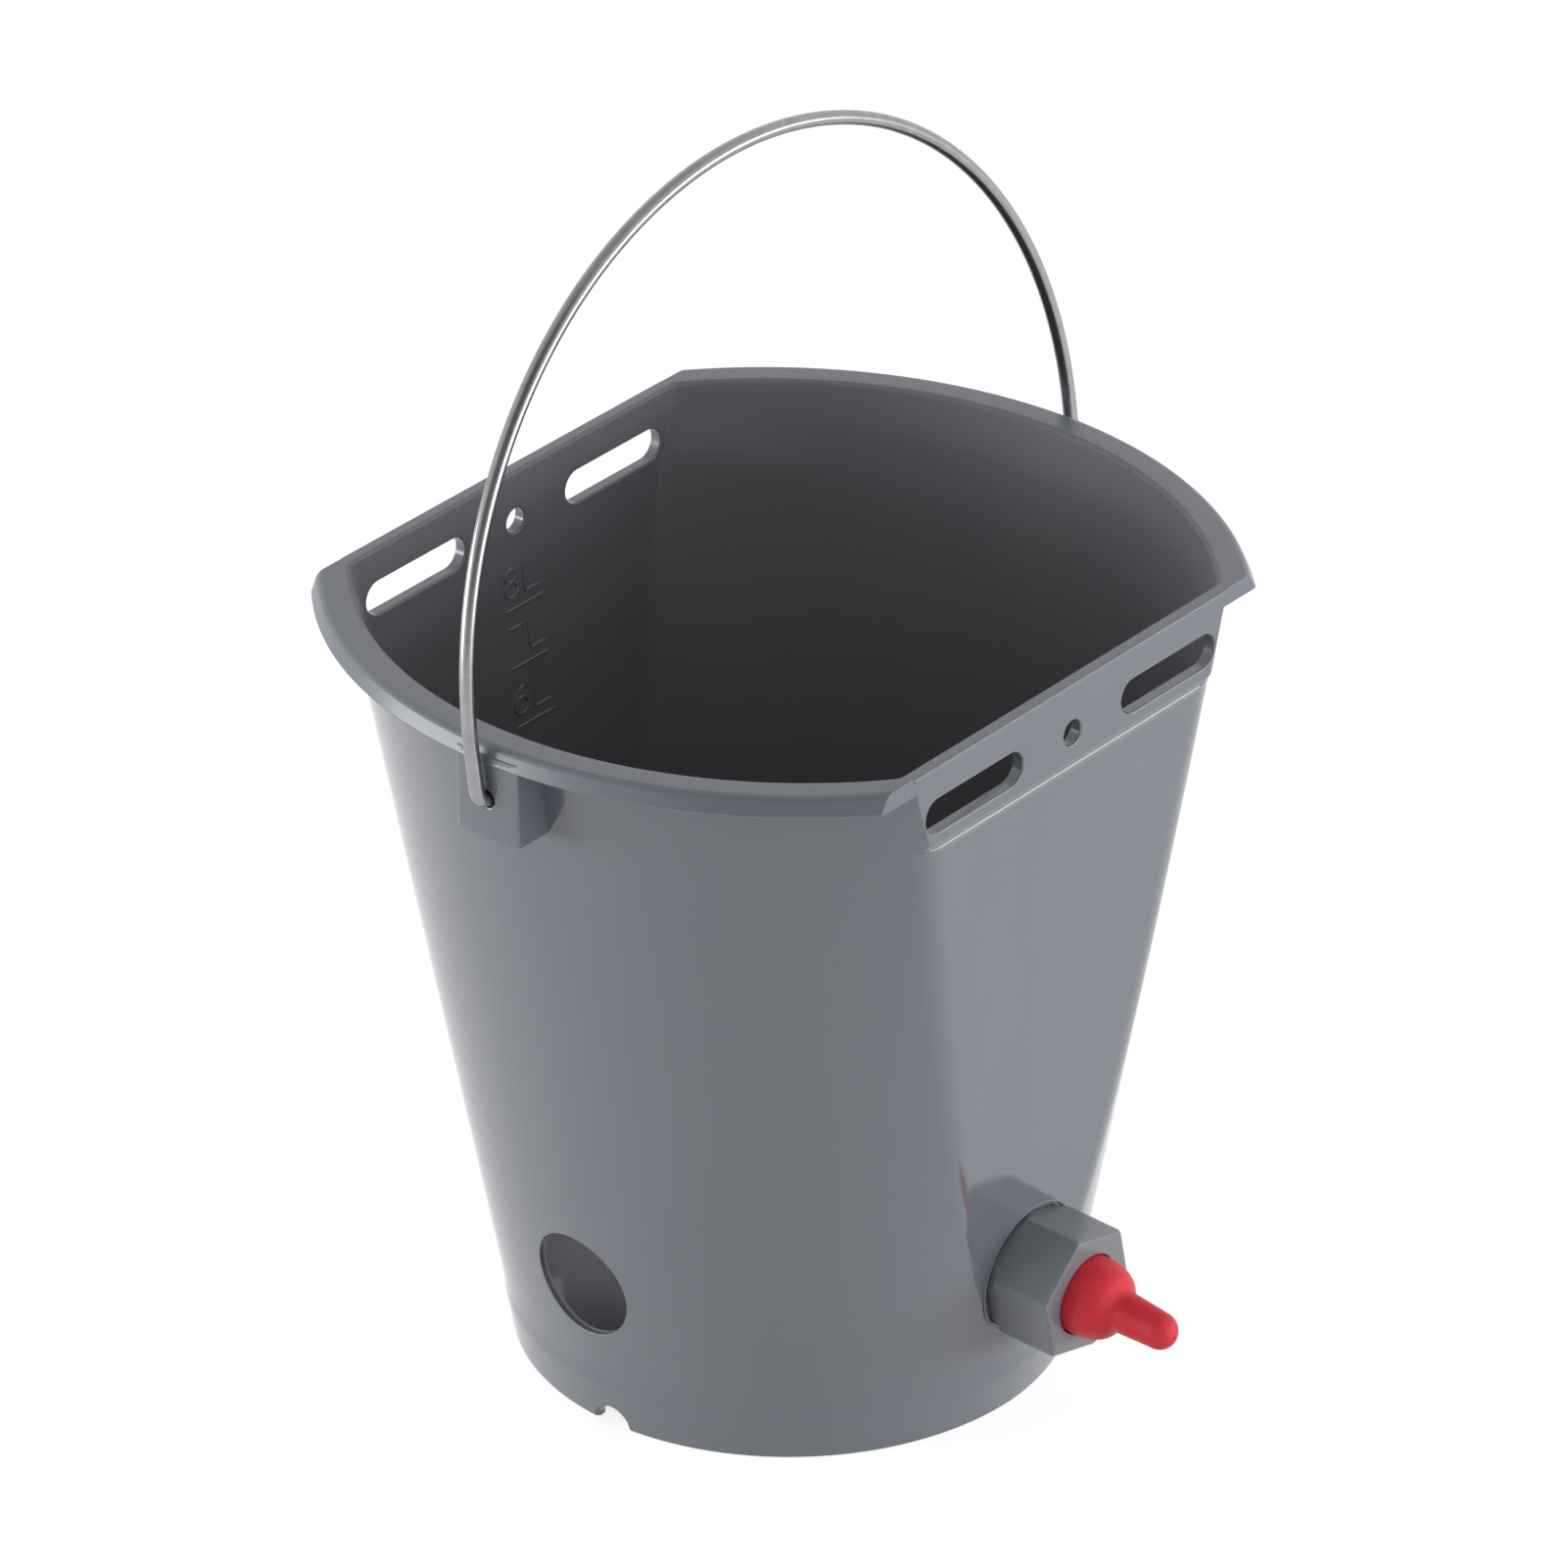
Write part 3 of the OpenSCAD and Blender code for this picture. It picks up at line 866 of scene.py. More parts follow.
@dataclass
class ValvePlace:
    """The valve axis: local w runs outwards through the front wall to the teat."""

    height: float = 56.0
    fall: float = 3.3
    seat_depth: float = 1.4
    form: BucketForm = field(default_factory=BucketForm)

    def axes(self) -> tuple[np.ndarray, np.ndarray, np.ndarray, np.ndarray]:
        """Returns the origin and the across, up and out directions.

        Returns:
            Four vectors in millimetres.
        """
        a = math.radians(self.fall)
        y = self.seat_depth - float(self.form.outer_flat(self.height))
        return (np.array([0, y, self.height]), np.array([1.0, 0, 0]),
                np.array([0, -math.sin(a), math.cos(a)]),
                np.array([0, -math.cos(a), -math.sin(a)]))

    def point(self, across: np.ndarray, up: np.ndarray, out: np.ndarray) -> np.ndarray:
        """Turns local coordinates into points of the bucket's frame.

        Args:
            across: Distances towards +X.
            up: Distances upwards.
            out: Distances outwards along the axis.

        Returns:
            One point in each row.
        """
        origin, x, y, z = self.axes()
        across, up, out = np.broadcast_arrays(across, up, out)
        return (origin + across[..., None] * x + up[..., None] * y + out[..., None] * z)

    def circle(self, r: float, w: float | np.ndarray, count: int, shift: float = 0.0,
               start: float = 0.0) -> np.ndarray:
        """Lays a circle round the valve axis.

        Args:
            r: Radius of the circle.
            w: Where it lies along the axis, once or for each point.
            count: Points round the axis.
            shift: How far its middle is moved upwards.
            start: Angle of its first point.

        Returns:
            The ring of points.
        """
        turn = round_steps(count) + start
        return self.point(r * np.cos(turn), r * np.sin(turn) + shift, w)

    def lathe(self, name: str, profile: Sequence[Span], count: int = 96,
              closed: bool = False, bend: Callable[[float], float] | None = None) -> Obj:
        """Turns a profile round the valve axis.

        Args:
            name: Name of the object.
            profile: (radius, w) pairs.
            count: Points round the axis.
            closed: True when the profile comes back to its start, as on a hollow piece.
            bend: Gives the upward shift of the axis at w.

        Returns:
            The new mesh object.
        """
        rows = [self.circle(r, w, count, bend(w) if bend else 0.0) for r, w in profile]
        return skin(name, rows, closed)


@dataclass
class Bucket:
    """The moulded bucket with its lip, ears, slots, hand hole and valve seat."""

    form: BucketForm = field(default_factory=BucketForm)
    valve: ValvePlace = field(default_factory=ValvePlace)
    lip_root: float = 155.41
    lip_out: float = 165.71
    lip_drop: float = 6.3
    lip_wall: float = 2.2
    lip_square: float = 0.5
    lip_lean: float = 2.64
    lip_arris: float = 2.8
    lip_tip: float = 0.45
    lip_seat: float = 154.0
    web: float = 2.8
    rim_round: float = 1.5
    slot_height: float = 265.1
    slot_spacing: float = 101.2
    slot_length: float = 49.6
    slot_radius: float = 6.1
    peg_radius: float = 4.5
    ear_face: float = 149.17
    ear_width: float = 25.6
    ear_low: float = 249.7
    ear_wall: float = 3.2
    ear_bow: float = 0.9
    pivot: float = 264.25
    ear_hole: float = 3.1
    hand_y: float = 6.0
    hand_z: float = 56.6
    hand_radius: float = 19.62
    grip_gap: float = 5.0
    grip_wall: float = 2.5
    grip_inset: float = 8.0
    grip_low: float = 16.0
    grip_round: float = 6.0
    notch_radius: float = 6.3
    seat_radius: float = 23.4
    seat_wall: float = 6.0
    pad_radius: float = 25.5
    bore_radius: float = 16.7
    bore_reach: float = 8.0
    port_edge: float = 0.35
    notch_edge: float = 0.6
    slot_edge: float = 0.7
    ear_edge: float = 0.6
    floor_round: float = 6.0
    fan: tuple[float, ...] = (0.05, 0.35, 0.65, 0.9)
    foot_edge: tuple[Span, ...] = (
        (0.0, 0.2), (0.1, 0.08), (0.3, 0.0), (0.8, 0.0), (2.0, 0.0))
    foot_levels: tuple[float, ...] = (5, 8, 11, 12.6, 13.5, 14, 14.5, 15.5, 17.5, 20, 23, 26, 30)
    ledge: tuple[Triple, ...] = (
        (-0.9, -0.82, 20.0), (-0.3, -0.55, 20.0), (0.1, -0.42, 20.0), (0.4, -0.42, 20.0),
        (0.7, -0.58, 20.0), (1.0, -0.72, 20.0), (1.6, -0.62, 12.0), (2.8, -0.34, 3.0),
        (3.3, -0.2, 1.8), (3.45, -0.32, 1.6), (3.6, -0.05, 1.5))
    band_corner: float = 1.5
    bead: tuple[Span, ...] = (
        (-2.2, -0.03), (-2.1, 0.02), (-2.02, 0.2), (-1.9, 0.38), (-1.6, 0.49),
        (-1.1, 0.52), (-0.6, 0.47), (-0.3, 0.36), (-0.1, 0.12), (0.0, -0.3))

    def under_rows(self) -> Rows:
        """Lays the rings under the floor and down the inside of the foot.

        Returns:
            The rings, from the middle outwards and down.
        """
        f = self.form
        inner = f.panel_base - f.panel_wall
        under = f.ring(29.0, f.wall, f.inner_flat, 12.0,
                       lambda y: f.floor_top(y) - f.floor_wall)
        centre = np.array([0.0, 0.0, f.floor_height - f.floor_wall])
        skirt = f.ring(0.0, f.wall, inner, 12.0)
        rows = [centre + (under - centre) * share for share in self.fan] + [under]
        rows += [under + (skirt - under) * t for t in (0.25, 0.5, 0.75)]
        lift = np.array([0.0, 0.0, 0.5])
        return rows + [skirt + lift, f.ring(0.0, f.wall - 0.4, inner + 0.4, 12.0)]

    def outer_rows(self) -> Rows:
        """Lays the rings up the outside, over the ledge and the band to the bead of the rim.

        Returns:
            The rings, from the ground up.
        """
        f = self.form
        low = [*self.foot_edge, *((float(z), 0.0) for z in self.foot_levels),
               *((float(z), 0.0) for z in np.linspace(34, 250.6, 54))]
        rows = [f.ring(z, edge - f.foot_swell(z), float(f.outer_flat(z)) - edge, f.panel_corner)
                for z, edge in low]
        rows += [f.ring(f.panel_top + rise, 0.0, f.band_outer + out, corner)
                 for rise, out, corner in self.ledge]
        rows += [f.ring(float(z), 0.0, f.band_outer, self.band_corner)
                 for z in np.linspace(256.0, 281.2, 14)]
        return rows + [f.ring(f.rim_height + rise, 0.0, f.band_outer + out, self.band_corner)
                       for rise, out in self.bead]

    def inner_rows(self) -> Rows:
        """Lays the rings over the rim, down the inside and over the floor to its middle.

        Returns:
            The rings, from the rim down.
        """
        f = self.form
        rows = []
        for out, drop in quarter_round(self.rim_round, 6):
            rows.append(f.ring(f.rim_height - drop, f.wall - out, f.band_inner + 0.7 * out, 5.0))
        for z in map(float, np.linspace(280.0, 60.0, 46)):
            corner = 5.0 if z > 252 else min(16.0, 5.0 + (252 - z) * 0.5)
            rows.append(f.ring(z, f.wall, float(f.inner_flat(z)), corner))
        for k in range(4):
            a = QUARTER * k / 3
            inset = self.floor_round * (1 - math.cos(a))
            rise = self.floor_round * (1 - math.sin(a))
            rows.append(f.ring(38.0, f.wall + inset, lambda z, i=inset: f.inner_flat(z) - i, 14.0,
                               lambda y, r=rise: f.floor_top(y) + r))
        edge, centre = rows[-1], np.array([0.0, 0.0, f.floor_height])
        return rows + [centre + (edge - centre) * share for share in self.fan[::-1]]

    def wall_rows(self) -> Rows:
        """Lays the rings of the wall, from under the floor, up outside, over the rim and in."""
        return self.under_rows() + self.outer_rows() + self.inner_rows()

    def lip_section(self, filled: bool, inset: float) -> Pairs:
        """Returns the closed (radius, z) section of the lip.

        Args:
            filled: True for the web at an end of the lip, False for the thin lip.
            inset: How far the crest is drawn in, for a rounded end.

        Returns:
            The points, once round the section.
        """
        low = self.form.rim_height - self.lip_drop
        high = self.form.rim_height - inset + 0.02
        root, out = self.lip_root, self.lip_out - inset
        slant = math.degrees(math.atan2(self.lip_lean, high - low))
        arris, tip = self.lip_arris, self.lip_tip
        half = math.radians(90 - slant) / 2
        x = out - self.lip_lean - arris * math.tan(half)
        crest = [(root, high), (root + 2.4, high), (root + 4.6, high)]
        crest += [(x + arris * math.cos(a), high - arris + arris * math.sin(a))
                  for a in np.radians(np.linspace(90, slant, 7))]
        x = out - tip * math.tan(math.radians(90 + slant) / 2)
        edge = [(x + tip * math.cos(a), low + tip + tip * math.sin(a))
                for a in np.radians(np.linspace(slant, -90, 7))]
        if filled:
            under = [(float(r), low) for r in np.linspace(out - 1.2, self.lip_seat, 12)]
        else:
            rx, ry = out - self.lip_wall - root, self.lip_drop - self.lip_wall
            under = [(out - self.lip_wall + 0.4, low)]
            angles = [math.radians(d) for d in (88, 80, 70, 60, 50, 40, 28, 15, 5, 0)]
            under += [(root + rx * math.sin(a) ** self.lip_square,
                       low + ry * math.cos(a) ** self.lip_square) for a in angles]
            under.append((self.lip_seat, low + ry))
        back = [(self.lip_seat - 0.1, high - 0.9), (self.lip_seat + 1.0, high - 0.12)]
        return crest + edge + under + back

    def lip(self, side: Side) -> Obj:
        """Sweeps the lip along one curved side, with a flat web at each end.

        Args:
            side: The curved side.

        Returns:
            The closed mesh of the lip.
        """
        centre = self.form.base_offset + self.form.offset_slope * self.form.rim_height
        end = self.form.band_outer
        inner = [160 * math.sin(a) for a in np.linspace(-0.82, 0.82, 110)]
        stations = [(-end, True, 0.3), (-end + 0.09, True, 0.09), (-end + 0.3, True, 0.0),
                    (-end + self.web, True, 0.0)]
        stations += [(y, False, 0.0) for y in inner if abs(y) < end - 3.0]
        stations += [(-y, filled, inset) for y, filled, inset in stations[3::-1]]
        rows = []
        for y, filled, inset in stations:
            section = self.lip_section(filled, inset)
            rows.append(ring([(side.value * (math.sqrt(r * r - y * y) - centre), y, z)
                              for r, z in section]))
        return skin("lip_part", rows)

    def ear(self, side: Side) -> Obj:
        """Makes one hollow ear, open below, with soft edges.

        Args:
            side: The curved side.

        Returns:
            The closed mesh of the ear.
        """
        top = self.form.rim_height - self.lip_drop + 2.9
        half = self.ear_width / 2
        low = self.ear_low

        def row(x0: float, x1: float, y1: float, z: float, edge: float, inset: float,
                bow: float) -> np.ndarray:
            """Lays one level outline with round corners and a bowed outer face.

            Args:
                x0: Inner end along X.
                x1: Outer end along X.
                y1: Half its width.
                z: Its height.
                edge: Radius of its corners.
                inset: How far it is drawn in.
                bow: How far the outer face bulges.

            Returns:
                The ring of points.
            """
            outline = []
            for cx, cy, start in ((x1, y1, 0), (x0, y1, 90), (x0, -y1, 180), (x1, -y1, 270)):
                for k in range(5):
                    a = math.radians(start + 22.5 * k)
                    sx, sy = (1 if cx == x1 else -1), math.copysign(1, cy)
                    outline.append((cx - sx * (edge + inset) + edge * math.cos(a),
                                    cy - sy * (edge + inset) + edge * math.sin(a), z))
            flat = y1 - edge - inset
            outline += [(x1 - inset, y, z) for y in np.linspace(-flat, flat, 14)[1:-1]]
            points = ring(outline)
            outer = points[:, 0] > (x0 + x1) / 2
            points[outer, 0] += bow * (0.3 - (points[outer, 1] / half) ** 2)
            return points * np.array([side.value, 1, 1])

        soft, wall = self.ear_edge, self.ear_wall
        steps = [(low, soft), (low + 0.3 * soft, 0.3 * soft), (low + soft, 0.0)]
        steps += [(float(z), 0.0) for z in np.linspace(low + 3, top, 5)]
        body = skin("ear_part", [row(float(self.form.side_x(z)) - 1.8, self.ear_face, half, z,
                                     soft, inset, self.ear_bow) for z, inset in steps])
        room = skin("ear_room", [row(120.0, self.ear_face - wall, half - wall, z, soft, 0.0, 0.0)
                                 for z in (low - 3, top + 2)])
        return combine(body, [room], Cut.REMOVE)

    def slot_cutter(self, panel: Panel, x: float, half: float, radius: float) -> Obj:
        """Makes the cutter of a slot or a round hole in a band, with rounded edges.

        Args:
            panel: The flat side.
            x: Middle of the hole.
            half: Half the distance between the centres of its round ends.
            radius: Radius of the round ends.

        Returns:
            The closed mesh of the cutter.
        """
        f = self.form
        turn = [math.radians(90 + 180 * k / 16) for k in range(17)]

        def outline(offset: float, y: float) -> np.ndarray:
            """Lays the hole's outline, grown by an offset, at a distance from the middle.

            Args:
                offset: Growth of the hole's radius.
                y: Distance from the middle.

            Returns:
                The ring of points.
            """
            left = [(x - half + (radius + offset) * math.cos(a),
                     self.slot_height + (radius + offset) * math.sin(a)) for a in turn]
            right = [(x + half - (radius + offset) * math.cos(a),
                      self.slot_height - (radius + offset) * math.sin(a)) for a in turn]
            return ring([(px, panel.value * y, pz) for px, pz in left + right])

        edge = quarter_round(self.slot_edge, 5)
        outer = [(o, f.band_outer - d) for o, d in edge]
        inner = [(o, f.band_inner + d) for o, d in edge[::-1]]
        steps = [(2.2, f.band_outer + 1.5)] + outer + inner + [(2.0, f.band_inner - 3)]
        return skin("slot_cutter", [outline(o, y) for o, y in steps])

    def port_cutter(self, y0: float, z0: float, radius: float, edge: float, reach: float) -> Obj:
        """Makes the cutter of a round hole through the curved side with the hand hole.

        Args:
            y0: Centre of the hole along Y.
            z0: Centre of the hole along Z.
            radius: Radius of the hole.
            edge: Radius of its rounded edge.
            reach: How deep the cutter goes.

        Returns:
            The closed mesh of the cutter.
        """
        turn = round_steps(72)
        rows = []
        wide = edge + 1.2
        steps = [(wide, -5.0), (wide, -1.2), *quarter_round(edge, 5), (0.0, reach)]
        for offset, depth in steps:
            y = y0 + (radius + offset) * np.cos(turn)
            z = z0 + (radius + offset) * np.sin(turn)
            x = -(self.form.side_face(y, np.maximum(z, 0)) - depth)
            rows.append(np.stack([x, y, z], 1))
        return skin("port_cutter", rows)

    def ear_hole_cutter(self, side: Side) -> Obj:
        """Makes the cutter of the bail hole of one ear.

        Args:
            side: The curved side.

        Returns:
            The closed mesh of the cutter.
        """
        turn = round_steps(40)
        rows = []
        for offset, depth in [(2.0, -1.5)] + quarter_round(0.5, 4) + [(0.0, 6.0)]:
            r = self.ear_hole + offset
            rows.append(np.stack([np.full(40, side.value * (self.ear_face - depth)),
                                  r * np.cos(turn), self.pivot + r * np.sin(turn)], 1))
        return skin("ear_cutter", rows)

    def core(self, inset: float, low: float, high: float) -> Obj:
        """Makes a closed form of the wall's inside, drawn in or grown, between two heights.

        Args:
            inset: How far it lies inside the outer wall.
            low: Its lower end.
            high: Its upper end.

        Returns:
            The closed mesh.
        """
        f = self.form
        grow = f.wall - inset
        rows = [f.ring(float(z), inset, float(f.inner_flat(z)) + grow, 14.0)
                for z in np.linspace(low, high, 8)]
        return skin("core", rows)

    def grip(self, extra: float, low: float) -> Obj:
        """Makes the form of the pocket behind the hand hole, grown by its wall.

        Args:
            extra: Thickness that is added all round.
            low: Height of its lower end.

        Returns:
            The closed mesh.
        """
        radius = self.hand_radius + self.grip_gap + extra
        top = self.hand_z + self.hand_radius + self.grip_gap + extra
        x0 = -float(self.form.side_x(self.hand_z)) - 1.0 + self.grip_inset
        turn, soft = round_steps(72), self.grip_round
        levels = [(radius, low), (radius, top - soft)]
        levels += [(radius - soft * (1 - math.cos(a)), top - soft * (1 - math.sin(a)))
                   for a in np.linspace(0.3, QUARTER, 6)]
        rows = [np.stack([x0 + r * np.cos(turn), self.hand_y + r * np.sin(turn),
                          np.full(72, z)], 1) for r, z in levels]
        return skin("grip", rows)

    def seat_cutter(self) -> Obj:
        """Makes the cutter of the shallow round seat that the nut stands in."""
        corners = ((0.3, 0.0), (self.seat_radius, 0.0), (self.seat_radius, self.bore_reach))
        return self.valve.lathe("seat_cutter", corners, 120)

    def seat_face(self, r: float, turn: np.ndarray) -> np.ndarray:
        """Returns w where circles round the valve axis meet the drafted panel.

        Args:
            r: Radius of the circle.
            turn: Angles round the axis.

        Returns:
            The w at each angle.
        """
        origin, _, up, out = self.valve.axes()
        v = r * np.sin(turn)
        face = -self.form.outer_flat(origin[2] + v * up[2])
        return (face - origin[1] - v * up[1]) / (out[1] - self.form.panel_slope * out[2])

    def seat_bead(self) -> Obj:
        """Makes the fine raised edge round the seat.

        Returns:
            The closed mesh of the bead.
        """
        rows = []
        for a in round_steps(8):
            r = self.seat_radius + 0.42 + 0.4 * math.cos(a)
            w = self.seat_face(r, round_steps(120)) - 0.12 + 0.34 * math.sin(a)
            rows.append(self.valve.circle(r, w, 120))
        return skin("seat_bead", rows, closed=True)

    def build(self, material: Material) -> Obj:
        """Builds the whole moulding and puts it in place of its node.

        Args:
            material: The finish of the bucket.

        Returns:
            The finished object.
        """
        lathe, pad_radius, deep = self.valve.lathe, self.pad_radius, -self.seat_wall
        body = skin("bucket_moulding", self.wall_rows())
        pad = lathe("pad", [(0.3, deep), (pad_radius - 0.8, deep), (pad_radius, deep + 0.8),
                            (pad_radius, -1.0), (0.3, -1.0)])
        pocket = combine(self.grip(self.grip_wall, self.grip_low), [self.core(1.4, 5.0, 110.0)],
                         Cut.KEEP_COMMON)
        room = combine(self.grip(0.0, -6.0), [self.core(self.form.wall, -10.0, 110.0)],
                       Cut.KEEP_COMMON)
        combine(body, [*map(self.lip, Side), *map(self.ear, Side), pad, pocket,
                       self.seat_bead()], Cut.JOIN)
        cutters = [room]
        straight = self.slot_length / 2 - self.slot_radius
        for panel in Panel:
            cutters.append(self.slot_cutter(panel, 0.0, 0.0, self.peg_radius))
            for x in (-self.slot_spacing / 2, self.slot_spacing / 2):
                cutters.append(self.slot_cutter(panel, x, straight, self.slot_radius))
        cutters += [
            self.port_cutter(self.hand_y, self.hand_z, self.hand_radius, self.port_edge, 14.0),
            self.port_cutter(0.0, 0.0, self.notch_radius, self.notch_edge, 12.0),
            *map(self.ear_hole_cutter, Side), self.seat_cutter(),
            lathe("bore", [(self.bore_radius, -12.0), (self.bore_radius, self.bore_reach)])]
        combine(body, cutters, Cut.REMOVE)
        soften(dress(body, material))
        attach(body, "bucket")
        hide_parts("bucket")
        return body


def bend(cx: float, cy: float, rx: float, ry: float, start: float, end: float,
         steps: int = 14) -> Pairs:
    """Returns points of an elliptic arc between two angles in degrees."""
    return [(cx + rx * math.cos(a), cy + ry * math.sin(a))
            for a in np.radians(np.linspace(start, end, steps + 1))]


@dataclass
class LitreScale:
    """Raised litre marks on the inside of the rear flat side."""

    form: BucketForm = field(default_factory=BucketForm)
    levels: tuple[tuple[int, float], ...] = ((8, 234.0), (7, 212.7), (6, 190.8), (5, 168.5),
                                             (4, 145.5), (3, 121.5), (2, 96.5))
    left: float = -8.5
    right: float = 11.3
    lift: float = 4.3
    tall: float = 10.2
    width: float = 6.4
    line: float = 0.55
    proud: float = 0.5
    cell: float = 1.5
    end_share: float = 0.45
    unit_back: float = 9.2
    unit_foot: float = 8.0

    def strokes(self, litres: int) -> list[Pairs]:
        """Returns the lines of a digit in a cell that starts at the origin.

        Args:
            litres: The digit.

        Returns:
            The lines, in millimetres.
        """
        w, h = self.width, self.tall
        return {
            8: [bend(w / 2, 2.8, w / 2, 2.8, 0, 360, 24),
                bend(w / 2, 7.9, 2.6, 2.3, 0, 360, 20)],
            7: [[(0, h), (w, h), (2.4, 0)]],
            6: [bend(w / 2, 3.1, w / 2, 3.1, 0, 360, 24),
                bend(w / 2 + 2.6, 3.5, w / 2 + 2.6, h - 3.5, 180, 100)],
            5: [[(w - 0.6, h), (1.0, h), (0.5, 5.5)],
                bend(w / 2 - 0.2, 3.2, w / 2, 3.2, 125, -140)],
            4: [[(w - 1.8, 0), (w - 1.8, h), (0, 3.1), (w, 3.1)]],
            3: [bend(w / 2 - 0.3, 7.9, 2.6, 2.3, 150, -80),
                bend(w / 2 - 0.3, 2.8, 3.1, 2.8, 80, -150)],
            2: [bend(w / 2, 7.4, w / 2 - 0.3, 2.8, 165, -35) + [(0.2, 0), (w, 0)]],
        }[litres]

    def ridge(self, stroke: Pairs, place: Matrix) -> Obj:
        """Sweeps a half-round ridge along a line of the panel.

        Args:
            stroke: The line.
            place: Where the cell of the mark lies.

        Returns:
            The closed mesh of the ridge.
        """
        pts = np.array(stroke, float)
        run = [pts[0]]
        for a, b in zip(pts[:-1], pts[1:]):
            cells = max(1, int(np.linalg.norm(b - a) / self.cell))
            run += [a + (b - a) * k / cells for k in range(1, cells + 1)]
        pts = np.array(run)
        way = np.gradient(pts, axis=0)
        way /= np.linalg.norm(way, axis=1)[:, None]
        turn = round_steps(12)
        sizes = np.ones(len(pts))
        sizes[0] = sizes[-1] = self.end_share
        rows = []
        for (x, y), (tx, ty), size in zip(pts, way, sizes):
            side = self.line * size * np.cos(turn)
            rows.append(np.stack([x - ty * side, y + tx * side,
                                  self.proud * size * np.sin(turn)], 1))
        obj = skin("ridge", rows)
        obj.data.transform(place)
        return obj

    def build(self, material: Material) -> Obj:
        """Draws the numbers with their unit and underlines as one object.

        Args:
            material: The finish of the piece.

        Returns:
            The finished object.
        """
        foot = self.form.panel_base - self.form.panel_wall
        tilt = math.atan((self.form.band_inner - foot) / self.form.band_low)
        columns = ((1, 0, 0), (0, math.sin(tilt), math.cos(tilt)),
                   (0, -math.cos(tilt), math.sin(tilt)))
        unit = self.right - self.unit_back
        parts = []
        for litres, z in self.levels:
            place = placing(columns, Vector((0, float(self.form.inner_flat(z)), z)) * MM)
            lines = [[(self.left, 0), (self.right, 0)]]
            lines += [[(x + self.left + 0.6, y + self.lift) for x, y in line]
                      for line in self.strokes(litres)]
            lines.append([(unit, self.tall + self.lift), (unit, self.lift),
                          (unit + self.unit_foot, self.lift)])
            parts += [self.ridge(line, place) for line in lines]
        merged = join_meshes("litre_marks", parts)
        dress(soften(merged, 60), material)
        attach(merged, "bucket")
        return merged


# The bail


@dataclass
class Bail:
    """The bent wire bail, standing with a small lean towards the rear."""

    wire: float = 5.0
    half_width: float = 154.27
    leg: float = 18.9
    shoulder: float = 148.77
    crown: float = 162.47
    elbow: float = 5.0
    end_x: float = 141.7
    pivot: float = 264.25
    play: float = 1.1
    lean: float = 6.8
    end_edge: float = 0.6
    end_length: float = 0.5

    def path(self) -> np.ndarray:
        """Returns the centreline of one half, from its end to the crown, in (x, height).

        Returns:
            One point in each row.
        """
        shoulder_x = self.half_width - self.shoulder
        gap = self.crown - self.shoulder
        crown_z = self.leg - math.sqrt(gap ** 2 - shoulder_x ** 2)
        turn = math.acos(shoulder_x / gap)
        pts = [(x, 0.0) for x in np.linspace(self.end_x, self.half_width - self.elbow, 4)]
        pts += [(self.half_width - self.elbow + self.elbow * math.cos(a),
                 self.elbow + self.elbow * math.sin(a))
                for a in np.linspace(-QUARTER, 0, 9)[1:]]
        pts += [(self.half_width, h) for h in np.linspace(self.elbow, self.leg, 6)[1:]]
        pts += [(shoulder_x + self.shoulder * math.cos(a), self.leg + self.shoulder * math.sin(a))
                for a in np.linspace(0, turn, 60)[1:]]
        pts += [(self.crown * math.cos(a), crown_z + self.crown * math.sin(a))
                for a in np.linspace(turn, QUARTER, 34)[1:]]
        return np.array(pts)

    def build(self, material: Material) -> Obj:
        """Sweeps the wire and puts it in place of its node.

        Args:
            material: The finish of the piece.

        Returns:
            The finished object.
        """
        half = self.path()
        full = np.concatenate([half, (half * [-1, 1])[::-1][1:]])
        tangent = np.gradient(full, axis=0)
        tangent /= np.linalg.norm(tangent, axis=1)[:, None]
        turn = round_steps(24)
        lean = math.radians(self.lean)
        edge = self.wire / 2 - self.end_edge
        ends = {0: [(edge, 0.0), (self.wire / 2, self.end_length)],
                len(full) - 1: [(self.wire / 2, -self.end_length), (edge, 0.0)]}
        rows = []
        for i, ((x, h), (tx, th)) in enumerate(zip(full, tangent)):
            for radius, shift in ends.get(i, [(self.wire / 2, 0.0)]):
                a = x + tx * shift - th * radius * np.cos(turn)
                b = h + th * shift + tx * radius * np.cos(turn)
                d = radius * np.sin(turn)
                rows.append(np.stack([a + self.play,
                                      d * math.cos(lean) + b * math.sin(lean),
                                      self.pivot + b * math.cos(lean) - d * math.sin(lean)], 1))
        wire = skin("bail_wire", rows)
        dress(soften(wire, 50), material)
        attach(wire, "bail")
        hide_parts("bail")
        return wire


# The valve


